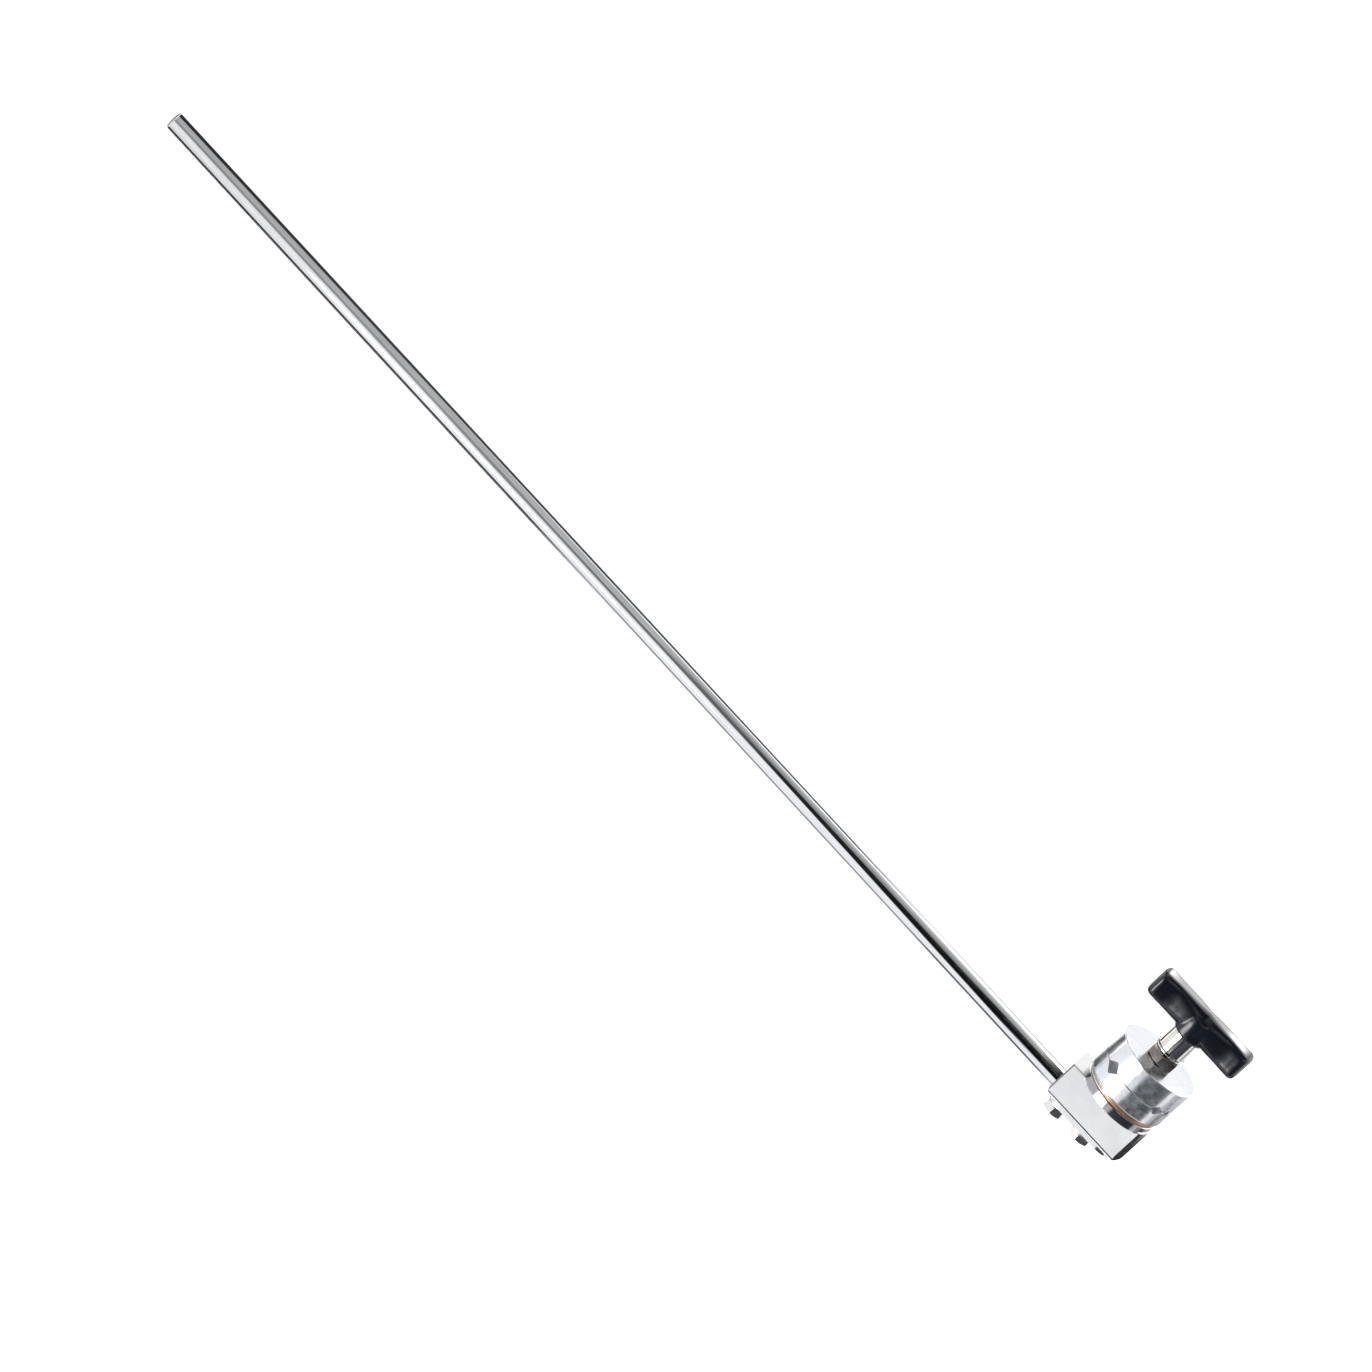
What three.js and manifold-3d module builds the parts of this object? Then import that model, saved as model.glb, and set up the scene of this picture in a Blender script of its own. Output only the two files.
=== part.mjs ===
// A grip arm: a round chromed rod with a swivelling two-jaw grip head on its end.
// Millimetres. +X runs along the rod from its free tip to the head, +Y runs out along the
// head's spindle to the T-handle, and +Z is up. The origin is the centre of the rod's free tip.

import * as THREE from 'three';
import { mergeVertices } from 'three/addons/utils/BufferGeometryUtils.js';
import Module from 'manifold-3d';

const wasm = await Module();
wasm.setup();

// Clearances shared by every fit
const SEAT_GAP = 0.3;
const BORE_GAP = 0.3;
const CUT_OVERRUN = 5;

// Arm and rod
const ARM_LENGTH = 1016;
const ROD_DIAMETER = 15.9;
const ROD_WALL = 2.5;
const ROD_EDGE_CHAMFER = 0.8;
const PLUG_LENGTH = 12;
const PLUG_CROWN = 1.2;

// Head block, with a flange under the jaws and a raised land on its back
const BLOCK_WIDTH = 34;
const BLOCK_THICKNESS = 33;
const BLOCK_REACH = 40;
const BLOCK_BACK_WALL = 2;
const BLOCK_BACK_ROUND = 6.5;
const BLOCK_EDGE_ROUND = 1.2;
const BLOCK_END_INSET = 0.4;
const SOCKET_DEPTH = 30;
const FLANGE_THICKNESS = 5.5;
const FLANGE_INSET = 1.5;
const LAND_HEIGHT = 1.8;
const LAND_WIDTH = 26;
const LAND_END_INSET = 6;

// Bolt that holds the rod in the block
const ROD_BOLT_SETBACK = 14;
const ROD_BOLT_DIAMETER = 8;
const ROD_BOLT_BITE = 8;
const ROD_BOLT_HEAD_ACROSS = 15;
const ROD_BOLT_HEAD_HEIGHT = 7;
const ROD_BOLT_WASHER_DIAMETER = 18;

// Washers and nuts behind the block
const WASHER_THICKNESS = 1.6;
const HEX_CHAMFER = 1.1;
const SPINDLE_NUT_ACROSS = 18;
const SPINDLE_NUT_HEIGHT = 5.8;
const SPINDLE_WASHER_DIAMETER = 24;
const SPINDLE_TAIL = 0.8;

// Spindle and the ring that stops the handle coming off
const SPINDLE_DIAMETER = 12;
const SPINDLE_PITCH = 1.75;
const HANDLE_TURNS = 7;
const STOP_RING_THICKNESS = 1.4;
const STOP_RING_DIAMETER = 15.4;
const STOP_GROOVE_DEPTH = 1;
const SPINDLE_NOSE = 1;
const TIP_CHAMFER = 0.6;

// Friction washers between the flange and the jaws
const FRICTION_THICKNESS = 1;
const FRICTION_PLATE_THICKNESS = 0.8;
const FRICTION_INSET = 1.7;

// Jaws and their rod grooves, named by the rod that each one holds
const JAW_DIAMETER = 67;
const INNER_JAW_THICKNESS = 14.8;
const OUTER_JAW_THICKNESS = 19.4;
const JAW_CHAMFER = 0.9;
const SPRING_POCKET_DEPTH = 7;
const GROOVE_16_HALF = 5.8;
const GROOVE_16_OFFSET = 19.2;
const GROOVE_13_HALF = 6.35;
const GROOVE_13_OFFSET = 16;
const GROOVE_10_HALF = 4.2;
const GROOVE_10_OFFSET = 24.4;
const GROOVE_6_HALF = 3.2;
const GROOVE_6_OFFSET = 12.5;

// Dowels that keep the jaws in line
const DOWEL_DIAMETER = 4;
const DOWEL_RING_RADIUS = 26.5;
const DOWEL_PRESSED = 8;
const DOWEL_OVERLAP = 1.6;
const DOWEL_FRONT_ANGLE = THREE.MathUtils.degToRad(10);
const DOWEL_REAR_ANGLE = THREE.MathUtils.degToRad(172);

// Spring that opens the jaws
const SPRING_WIRE = 1.4;
const SPRING_CLEARANCE = 0.6;
const SPRING_CURLS = 4;

// Roller bearing in its hexagonal collar
const RACE_THICKNESS = 1.2;
const RACE_DIAMETER = 17.8;
const CAGE_THICKNESS = 1.2;
const ROLLER_DIAMETER = 2.4;
const ROLLER_COUNT = 12;
const COLLAR_ACROSS = 22.4;
const COLLAR_HEIGHT = 8.6;

// Chromed hub of the T-handle
const HUB_DIAMETER = 24;
const HUB_LENGTH = 19.8;
const HUB_CHAMFER = 0.8;
const HUB_GRIP = 6.2;
const HUB_BEAD = 1;

// T-handle
const HANDLE_LENGTH = 90;
const HANDLE_DEPTH = 30;
const HANDLE_HEIGHT = 23.4;
const HANDLE_ROUND = 3;
const HANDLE_CROWN = 0.6;
const HANDLE_END_RISE = 0.8;
const SKIRT_DIAMETER = 28.5;
const SKIRT_HEIGHT = 1.5;
const SKIRT_SLOPE = 1.5;
const CHAMBER_DIAMETER = 17;

// The handle's outline seen along the spindle: along its length, then out from its middle line
const HANDLE_OUTLINE_SHARES = [
  [0, 0.88], [0.2, 0.86], [0.42, 0.76], [0.62, 0.64], [0.8, 0.72], [0.92, 0.74], [0.985, 0.5],
];

// Sides of the round solids
const DISC_SIDES = 60;
const ROUND_SIDES = 36;
const SMALL_SIDES = 24;
const HEX_SIDES = 6;
const ROUND_STEPS = 4;
const OUTLINE_STEPS = 72;
const CURL_STEPS = 8;
const WIRE_SIDES = 5;

// Sizes that follow from the ones above
const rodRadius = ROD_DIAMETER / 2;
const spindleRadius = SPINDLE_DIAMETER / 2;
const spindleBore = spindleRadius + BORE_GAP;
const jawRadius = JAW_DIAMETER / 2;
const blockEndRadius = jawRadius - BLOCK_END_INSET;
const spindleX = ARM_LENGTH - blockEndRadius;
const blockStartX = spindleX - BLOCK_REACH;
const rodEndX = blockStartX + SOCKET_DEPTH - SEAT_GAP;
const rodBoltX = -BLOCK_REACH + ROD_BOLT_SETBACK;
const jawTravel = SPINDLE_PITCH * HANDLE_TURNS;

// Levels along the spindle, measured from the rod's axis
const blockBack = -(rodRadius + BLOCK_BACK_WALL);
const blockFront = blockBack + BLOCK_THICKNESS;
const landBack = blockBack - LAND_HEIGHT;
const washerBack = landBack - SEAT_GAP - WASHER_THICKNESS;
const nutFront = washerBack - SEAT_GAP;
const spindleTail = nutFront - SPINDLE_NUT_HEIGHT - SPINDLE_TAIL;
const flangeFront = blockFront + FLANGE_THICKNESS;
const frictionBackStart = flangeFront + SEAT_GAP;
const frictionPlateStart = frictionBackStart + FRICTION_THICKNESS + SEAT_GAP;
const frictionFrontStart = frictionPlateStart + FRICTION_PLATE_THICKNESS + SEAT_GAP;
const innerJawStart = frictionFrontStart + FRICTION_THICKNESS + SEAT_GAP;
const innerJawFace = innerJawStart + INNER_JAW_THICKNESS;
const outerJawFace = innerJawFace + SEAT_GAP;
const partingLevel = (innerJawFace + outerJawFace) / 2;
const outerJawFront = outerJawFace + OUTER_JAW_THICKNESS;
const lowerRaceStart = outerJawFront + SEAT_GAP;
const cageStart = lowerRaceStart + RACE_THICKNESS + SEAT_GAP;
const upperRaceStart = cageStart + ROLLER_DIAMETER + SEAT_GAP;
const hubStart = upperRaceStart + RACE_THICKNESS + SEAT_GAP;
const collarTop = outerJawFront + SEAT_GAP + COLLAR_HEIGHT;
const stemStart = collarTop + SEAT_GAP;
const skirtStart = stemStart + HUB_LENGTH;
const hubTop = skirtStart + HUB_GRIP;
const handleStart = skirtStart + SKIRT_HEIGHT;
const handleTop = handleStart + HANDLE_HEIGHT;
const stopRingStart = hubTop + jawTravel + SEAT_GAP;
const spindleTip = stopRingStart + STOP_RING_THICKNESS + SEAT_GAP + SPINDLE_NOSE;
const chamberTop = spindleTip + SEAT_GAP;

// Materials
function finish(color, roughness, metalness) {
  return { color, roughness, metalness };
}
const CHROME = finish(0xd4d6d8, 0.12, 1);
const STEEL = finish(0xb4b6b8, 0.3, 1);
const FIBRE = finish(0xb8683a, 0.6, 0.2);
const BLACK_PLASTIC = finish(0x14161c, 0.38, 0);

// Closed solids and three.js geometry
function solidOf(geometry) {
  const bare = geometry.index ? geometry.toNonIndexed() : geometry.clone();
  bare.deleteAttribute('normal');
  bare.deleteAttribute('uv');
  const merged = mergeVertices(bare);
  const places = merged.attributes.position.array;
  const corners = [];
  for (let i = 0; i < merged.index.count; i += 3) {
    const [a, b, c] = [0, 1, 2].map((k) => merged.index.getX(i + k));
    if (a !== b && b !== c && c !== a) corners.push(a, b, c);
  }
  if (signedVolume(places, corners) < 0) corners.reverse();
  const mesh = new wasm.Mesh({
    numProp: 3,
    vertProperties: new Float32Array(places),
    triVerts: new Uint32Array(corners),
  });
  return new wasm.Manifold(mesh);
}

function signedVolume(places, corners) {
  const point = (i) => new THREE.Vector3().fromArray(places, corners[i] * 3);
  let sum = 0;
  for (let i = 0; i < corners.length; i += 3) {
    sum += point(i).dot(point(i + 1).cross(point(i + 2)));
  }
  return sum;
}

function geometryOf(solid) {
  const mesh = solid.getMesh();
  const geometry = new THREE.BufferGeometry();
  geometry.setAttribute('position', new THREE.BufferAttribute(mesh.vertProperties, 3));
  geometry.setIndex(new THREE.BufferAttribute(mesh.triVerts, 1));
  geometry.computeVertexNormals();
  return geometry;
}

function piece(name, solid, look) {
  const material = new THREE.MeshStandardMaterial({ ...look, flatShading: true });
  const mesh = new THREE.Mesh(geometryOf(solid), material);
  mesh.name = name;
  return mesh;
}

// Round solids about the Y axis, given as [radius, level] points from the axis back to it
function turned(profile, sides = ROUND_SIDES) {
  const points = profile.map(([radius, level]) => new THREE.Vector2(radius, level));
  return solidOf(new THREE.LatheGeometry(points, sides));
}

function disc(radius, low, high, chamfer = 0, sides = ROUND_SIDES) {
  if (chamfer === 0) return turned([[0, low], [radius, low], [radius, high], [0, high]], sides);
  return turned([
    [0, low], [radius - chamfer, low], [radius, low + chamfer],
    [radius, high - chamfer], [radius - chamfer, high], [0, high],
  ], sides);
}

function ring(outer, inner, low, high, chamfer = 0, sides = ROUND_SIDES) {
  const hole = disc(inner, low - CUT_OVERRUN, high + CUT_OVERRUN, 0, sides);
  return disc(outer, low, high, chamfer, sides).subtract(hole);
}

function movedTo(solid, x, y, z) {
  return solid.translate([x, y, z]);
}

// A hexagonal prism about Y with its corners bevelled at both ends
function hexagon(across, low, high) {
  const corner = across / Math.sqrt(3);
  const prism = turned([[0, low], [corner, low], [corner, high], [0, high]], HEX_SIDES);
  const bevel = disc(corner, low, high, Math.min(HEX_CHAMFER, (high - low) / 3), DISC_SIDES);
  return prism.intersect(bevel);
}

// A bar of rectangular section between two corners
function bar(low, high) {
  const size = high.map((v, i) => v - low[i]);
  const middle = high.map((v, i) => (v + low[i]) / 2);
  const box = new THREE.BoxGeometry(...size);
  box.translate(...middle);
  return solidOf(box);
}

function roundedRectangle(x0, y0, x1, y1, lowRound, highRound) {
  const shape = new THREE.Shape();
  shape.moveTo(x0 + lowRound, y0);
  shape.lineTo(x1 - lowRound, y0);
  shape.absarc(x1 - lowRound, y0 + lowRound, lowRound, -Math.PI / 2, 0);
  shape.lineTo(x1, y1 - highRound);
  shape.absarc(x1 - highRound, y1 - highRound, highRound, 0, Math.PI / 2);
  shape.lineTo(x0 + highRound, y1);
  shape.absarc(x0 + highRound, y1 - highRound, highRound, Math.PI / 2, Math.PI);
  shape.lineTo(x0, y0 + lowRound);
  shape.absarc(x0 + lowRound, y0 + lowRound, lowRound, Math.PI, Math.PI * 1.5);
  return shape;
}

function extruded(shape, depth, curveSegments = ROUND_STEPS) {
  return new THREE.ExtrudeGeometry(shape, { depth, bevelEnabled: false, curveSegments });
}

// Rod and its plug, turned about Y and laid along X by the mesh's own rotation
function buildRod() {
  const outside = disc(rodRadius, 0, rodEndX, ROD_EDGE_CHAMFER);
  const bore = disc(rodRadius - ROD_WALL, -CUT_OVERRUN, rodEndX + CUT_OVERRUN);
  const boltX = spindleX + rodBoltX;
  const hole = disc(ROD_BOLT_DIAMETER / 2 + BORE_GAP, -ROD_DIAMETER, ROD_DIAMETER, 0, SMALL_SIDES);
  const crossHole = movedTo(hole.rotate([0, 0, 90]), 0, boltX, 0);
  return outside.subtract(bore).subtract(crossHole);
}

function buildPlug() {
  const radius = rodRadius - ROD_WALL - BORE_GAP;
  const head = rodRadius - ROD_EDGE_CHAMFER;
  return turned([
    [0, -SEAT_GAP - PLUG_CROWN - PLUG_CROWN / 3], [head / 2, -SEAT_GAP - PLUG_CROWN],
    [head, -SEAT_GAP - PLUG_CROWN / 2], [head, -SEAT_GAP], [radius, -SEAT_GAP],
    [radius, PLUG_LENGTH - TIP_CHAMFER], [radius - TIP_CHAMFER, PLUG_LENGTH], [0, PLUG_LENGTH],
  ]);
}

// Head block
function blockPlan() {
  const half = BLOCK_WIDTH / 2;
  const angle = Math.asin(half / blockEndRadius);
  const shape = new THREE.Shape();
  shape.moveTo(-BLOCK_REACH + BLOCK_EDGE_ROUND, -half);
  shape.lineTo(Math.cos(angle) * blockEndRadius, -half);
  shape.absarc(0, 0, blockEndRadius, -angle, angle);
  shape.lineTo(-BLOCK_REACH + BLOCK_EDGE_ROUND, half);
  shape.lineTo(-BLOCK_REACH, half - BLOCK_EDGE_ROUND);
  shape.lineTo(-BLOCK_REACH, -half + BLOCK_EDGE_ROUND);
  return shape;
}

function blockBody() {
  const half = BLOCK_WIDTH / 2;
  const plan = extruded(blockPlan(), BLOCK_THICKNESS, ROUND_STEPS * 3);
  plan.rotateX(-Math.PI / 2);
  plan.translate(0, blockBack, 0);
  const section = roundedRectangle(
    -half, blockBack, half, blockFront, BLOCK_BACK_ROUND, BLOCK_EDGE_ROUND,
  );
  const length = BLOCK_REACH + blockEndRadius + CUT_OVERRUN * 2;
  const sleeve = extruded(section, length);
  sleeve.rotateY(Math.PI / 2);
  sleeve.translate(-BLOCK_REACH - CUT_OVERRUN, 0, 0);
  return solidOf(plan).intersect(solidOf(sleeve));
}

// The land starts just past the bolt's washer and ends short of the block's far end
function backLand() {
  const half = LAND_WIDTH / 2;
  const low = rodBoltX - ROD_BOLT_WASHER_DIAMETER / 2 - BLOCK_EDGE_ROUND;
  const high = blockEndRadius - LAND_END_INSET;
  const shape = roundedRectangle(low, -half, high, half, half / 2, half / 2);
  const land = extruded(shape, LAND_HEIGHT * 2);
  land.rotateX(-Math.PI / 2);
  land.translate(0, landBack, 0);
  return solidOf(land);
}

function buildBlock() {
  const flange = disc(jawRadius - FLANGE_INSET, blockFront - BLOCK_EDGE_ROUND * 2, flangeFront,
    BLOCK_EDGE_ROUND, DISC_SIDES);
  const socket = disc(rodRadius + BORE_GAP, -BLOCK_REACH - CUT_OVERRUN, -BLOCK_REACH + SOCKET_DEPTH);
  const spindleHole = disc(spindleBore, landBack - CUT_OVERRUN, flangeFront + CUT_OVERRUN);
  const boltHole = disc(ROD_BOLT_DIAMETER / 2 + BORE_GAP, landBack - CUT_OVERRUN,
    rodRadius + ROD_BOLT_BITE + SEAT_GAP, 0, SMALL_SIDES);
  return blockBody().add(backLand()).add(flange)
    .subtract(socket.rotate([0, 0, -90]))
    .subtract(spindleHole)
    .subtract(movedTo(boltHole, rodBoltX, 0, 0));
}

// Fasteners behind the block
function buildRodBolt() {
  const high = nutFront;
  const head = hexagon(ROD_BOLT_HEAD_ACROSS, high - ROD_BOLT_HEAD_HEIGHT, high);
  const shank = disc(ROD_BOLT_DIAMETER / 2, high - ROD_BOLT_HEAD_HEIGHT / 2,
    rodRadius + ROD_BOLT_BITE, TIP_CHAMFER, SMALL_SIDES);
  return movedTo(head.add(shank), rodBoltX, 0, 0);
}

function buildRodBoltWasher() {
  const washer = ring(ROD_BOLT_WASHER_DIAMETER / 2, ROD_BOLT_DIAMETER / 2 + BORE_GAP,
    washerBack, washerBack + WASHER_THICKNESS);
  return movedTo(washer, rodBoltX, 0, 0);
}

function buildSpindleNut() {
  const body = hexagon(SPINDLE_NUT_ACROSS, nutFront - SPINDLE_NUT_HEIGHT, nutFront);
  const hole = disc(spindleBore, nutFront - SPINDLE_NUT_HEIGHT - CUT_OVERRUN, nutFront + CUT_OVERRUN);
  return body.subtract(hole);
}

function buildSpindle() {
  const neck = spindleRadius - STOP_GROOVE_DEPTH;
  const grooveEnd = stopRingStart + STOP_RING_THICKNESS + SEAT_GAP;
  return turned([
    [0, spindleTail], [spindleRadius - TIP_CHAMFER, spindleTail],
    [spindleRadius, spindleTail + TIP_CHAMFER],
    [spindleRadius, stopRingStart - SEAT_GAP], [neck, stopRingStart - SEAT_GAP],
    [neck, grooveEnd], [spindleRadius, grooveEnd],
    [spindleRadius, spindleTip - TIP_CHAMFER], [spindleRadius - TIP_CHAMFER, spindleTip],
    [0, spindleTip],
  ]);
}

function buildStopRing() {
  return ring(STOP_RING_DIAMETER / 2, spindleRadius - STOP_GROOVE_DEPTH + BORE_GAP,
    stopRingStart, stopRingStart + STOP_RING_THICKNESS);
}

// Washers on the spindle under the jaws
function buildFrictionDisc(start, thickness) {
  return ring(jawRadius - FRICTION_INSET, spindleBore, start, start + thickness, 0, DISC_SIDES);
}

// Jaws
function grooveBar(half, alongX, offset) {
  const side = half * Math.SQRT2;
  const reach = JAW_DIAMETER;
  const box = bar([-side / 2, -side / 2, -reach], [side / 2, side / 2, reach]);
  const diamond = box.rotate([0, 0, 45]);
  if (alongX) return movedTo(diamond.rotate([0, 90, 0]), 0, partingLevel, offset);
  return movedTo(diamond, offset, partingLevel, 0);
}

function withGrooves(jaw) {
  return jaw
    .subtract(grooveBar(GROOVE_16_HALF, false, -GROOVE_16_OFFSET))
    .subtract(grooveBar(GROOVE_10_HALF, false, GROOVE_10_OFFSET))
    .subtract(grooveBar(GROOVE_13_HALF, true, -GROOVE_13_OFFSET))
    .subtract(grooveBar(GROOVE_6_HALF, true, GROOVE_6_OFFSET));
}

function atAngle(solid, angle) {
  return movedTo(solid, Math.sin(angle) * DOWEL_RING_RADIUS, 0, Math.cos(angle) * DOWEL_RING_RADIUS);
}

const dowelEnd = innerJawFace + jawTravel + DOWEL_OVERLAP;

function withDowelHoles(jaw, low, high) {
  const hole = disc(DOWEL_DIAMETER / 2 + BORE_GAP, low, high, 0, SMALL_SIDES);
  return jaw.subtract(atAngle(hole, DOWEL_FRONT_ANGLE)).subtract(atAngle(hole, DOWEL_REAR_ANGLE));
}

const springOuter = spindleRadius + SPRING_CLEARANCE + SPRING_WIRE;
const pocketRadius = springOuter + SPRING_CLEARANCE;

function buildInnerJaw() {
  const body = ring(jawRadius, spindleBore, innerJawStart, innerJawFace, JAW_CHAMFER, DISC_SIDES);
  const pocket = disc(pocketRadius, innerJawFace - SPRING_POCKET_DEPTH, innerJawFace + CUT_OVERRUN);
  const low = innerJawFace - DOWEL_PRESSED - SEAT_GAP;
  return withDowelHoles(withGrooves(body.subtract(pocket)), low, innerJawFace + CUT_OVERRUN);
}

function buildOuterJaw() {
  const body = ring(jawRadius, spindleBore, outerJawFace, outerJawFront, JAW_CHAMFER, DISC_SIDES);
  const pocket = disc(pocketRadius, outerJawFace - CUT_OVERRUN, outerJawFace + SPRING_POCKET_DEPTH);
  const high = dowelEnd + SEAT_GAP;
  return withDowelHoles(withGrooves(body.subtract(pocket)), outerJawFace - CUT_OVERRUN, high);
}

function buildDowel(angle) {
  const pin = disc(DOWEL_DIAMETER / 2, innerJawFace - DOWEL_PRESSED, dowelEnd, TIP_CHAMFER, SMALL_SIDES);
  return atAngle(pin, angle);
}

// Spring: one tube whose centre line climbs steadily round the spindle, closed at both ends
function springPoint(turn, bottom, top) {
  const radius = springOuter - SPRING_WIRE / 2;
  const share = turn / SPRING_CURLS;
  const angle = turn * Math.PI * 2;
  const level = bottom + (top - bottom) * share;
  return new THREE.Vector3(Math.sin(angle) * radius, level, Math.cos(angle) * radius);
}

function buildSpring() {
  const bottom = innerJawFace - SPRING_POCKET_DEPTH + SEAT_GAP + SPRING_WIRE / 2;
  const top = outerJawFace + SPRING_POCKET_DEPTH - SEAT_GAP - SPRING_WIRE / 2;
  const rings = SPRING_CURLS * CURL_STEPS + 1;
  const places = [];
  for (let i = 0; i < rings; i += 1) {
    const middle = springPoint(i / CURL_STEPS, bottom, top);
    const outward = new THREE.Vector3(middle.x, 0, middle.z).normalize();
    for (let k = 0; k < WIRE_SIDES; k += 1) {
      const around = (k / WIRE_SIDES) * Math.PI * 2;
      const radial = (Math.cos(around) * SPRING_WIRE) / 2;
      const rise = (Math.sin(around) * SPRING_WIRE) / 2;
      places.push(middle.x + outward.x * radial, middle.y + rise, middle.z + outward.z * radial);
    }
  }
  return solidOf(tubeGeometry(places, rings));
}

function tubeGeometry(places, rings) {
  const corners = [];
  const at = (i, k) => i * WIRE_SIDES + (k % WIRE_SIDES);
  for (let i = 0; i + 1 < rings; i += 1) {
    for (let k = 0; k < WIRE_SIDES; k += 1) {
      corners.push(at(i, k), at(i + 1, k), at(i, k + 1));
      corners.push(at(i, k + 1), at(i + 1, k), at(i + 1, k + 1));
    }
  }
  for (let k = 1; k + 1 < WIRE_SIDES; k += 1) {
    corners.push(at(0, 0), at(0, k), at(0, k + 1));
    corners.push(at(rings - 1, 0), at(rings - 1, k + 1), at(rings - 1, k));
  }
  const geometry = new THREE.BufferGeometry();
  geometry.setAttribute('position', new THREE.Float32BufferAttribute(places, 3));
  geometry.setIndex(corners);
  return geometry;
}

// Bearing and collar
const raceRadius = RACE_DIAMETER / 2;
const raceBore = spindleBore + BORE_GAP;

function buildRace(start) {
  return ring(raceRadius, raceBore, start, start + RACE_THICKNESS);
}

function buildRollerCage() {
  const middle = cageStart + ROLLER_DIAMETER / 2;
  let cage = ring(raceRadius, raceBore, middle - CAGE_THICKNESS / 2, middle + CAGE_THICKNESS / 2);
  const length = raceRadius - raceBore - BORE_GAP * 2;
  const centre = (raceRadius + raceBore) / 2;
  const roller = disc(ROLLER_DIAMETER / 2, -length / 2, length / 2, 0, WIRE_SIDES * 2).rotate([90, 0, 0]);
  for (let i = 0; i < ROLLER_COUNT; i += 1) {
    const angle = (i / ROLLER_COUNT) * 360;
    cage = cage.add(movedTo(movedTo(roller, 0, 0, centre).rotate([0, angle, 0]), 0, middle, 0));
  }
  return cage;
}

function buildCollar() {
  const low = outerJawFront + SEAT_GAP;
  const hole = disc(raceRadius + BORE_GAP, low - CUT_OVERRUN, collarTop + CUT_OVERRUN);
  return hexagon(COLLAR_ACROSS, low, collarTop).subtract(hole);
}

// Hub and handle
function buildHub() {
  const radius = HUB_DIAMETER / 2;
  const bead = radius + HUB_BEAD;
  const body = turned([
    [0, hubStart], [raceRadius, hubStart], [raceRadius, stemStart], [radius - HUB_CHAMFER, stemStart],
    [bead, stemStart + HUB_CHAMFER * 2], [bead, stemStart + HUB_CHAMFER * 2 + HUB_BEAD],
    [radius, stemStart + HUB_CHAMFER * 3 + HUB_BEAD],
    [radius, hubTop - HUB_CHAMFER], [radius - HUB_CHAMFER, hubTop], [0, hubTop],
  ]);
  return body.subtract(disc(spindleBore, hubStart - CUT_OVERRUN, hubTop + CUT_OVERRUN));
}

function handlePlan() {
  const corner = (sx, sz) => ([x, z]) => new THREE.Vector2(
    (sx * x * HANDLE_LENGTH) / 2, (sz * z * HANDLE_DEPTH) / 2,
  );
  const tip = (sx) => new THREE.Vector2((sx * HANDLE_LENGTH) / 2, 0);
  const row = HANDLE_OUTLINE_SHARES;
  const inner = row.slice(1);
  const points = [
    ...row.map(corner(1, 1)), tip(1), ...[...inner].reverse().map(corner(1, -1)),
    ...row.map(corner(-1, -1)), tip(-1), ...[...inner].reverse().map(corner(-1, 1)),
  ];
  const loop = new THREE.CatmullRomCurve3(
    points.map((p) => new THREE.Vector3(p.x, p.y, 0)), true, 'centripetal',
  );
  const round = loop.getSpacedPoints(OUTLINE_STEPS).slice(0, OUTLINE_STEPS);
  return new THREE.Shape(round.map((p) => new THREE.Vector2(p.x, p.y)));
}

// Seen along Z: the top is crowned and the underside rises towards the tips
function handleSide() {
  const half = HANDLE_LENGTH / 2 + CUT_OVERRUN;
  const shape = new THREE.Shape();
  shape.moveTo(-half, handleStart + HANDLE_END_RISE);
  shape.quadraticCurveTo(-half / 2, handleStart, 0, handleStart);
  shape.quadraticCurveTo(half / 2, handleStart, half, handleStart + HANDLE_END_RISE);
  shape.lineTo(half, handleTop - HANDLE_CROWN);
  shape.quadraticCurveTo(0, handleTop + HANDLE_CROWN, -half, handleTop - HANDLE_CROWN);
  return shape;
}

function handleBar() {
  const plan = new THREE.ExtrudeGeometry(handlePlan(), {
    depth: HANDLE_HEIGHT - HANDLE_ROUND * 2,
    bevelEnabled: true,
    bevelThickness: HANDLE_ROUND,
    bevelSize: HANDLE_ROUND,
    bevelOffset: -HANDLE_ROUND,
    bevelSegments: ROUND_STEPS - 1,
  });
  plan.rotateX(-Math.PI / 2);
  plan.translate(0, handleStart + HANDLE_ROUND, 0);
  const side = extruded(handleSide(), HANDLE_DEPTH + CUT_OVERRUN, ROUND_STEPS * 3);
  side.translate(0, 0, -(HANDLE_DEPTH + CUT_OVERRUN) / 2);
  return solidOf(plan).intersect(solidOf(side));
}

function buildHandle() {
  const radius = SKIRT_DIAMETER / 2;
  const skirt = turned([
    [0, skirtStart], [radius - SKIRT_SLOPE, skirtStart], [radius, handleStart],
    [radius - SKIRT_SLOPE, handleStart + HANDLE_HEIGHT / 2], [0, handleStart + HANDLE_HEIGHT / 2],
  ]);
  const pocket = disc(HUB_DIAMETER / 2 + BORE_GAP, skirtStart - CUT_OVERRUN, hubTop + SEAT_GAP);
  const chamber = disc(CHAMBER_DIAMETER / 2, hubTop, chamberTop);
  return handleBar().add(skirt).subtract(pocket).subtract(chamber);
}

// Assembly
const rodGroup = new THREE.Group();
rodGroup.rotation.z = -Math.PI / 2;
rodGroup.add(piece('arm_rod', buildRod(), CHROME));
rodGroup.add(piece('rod_end_plug', buildPlug(), STEEL));

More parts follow.
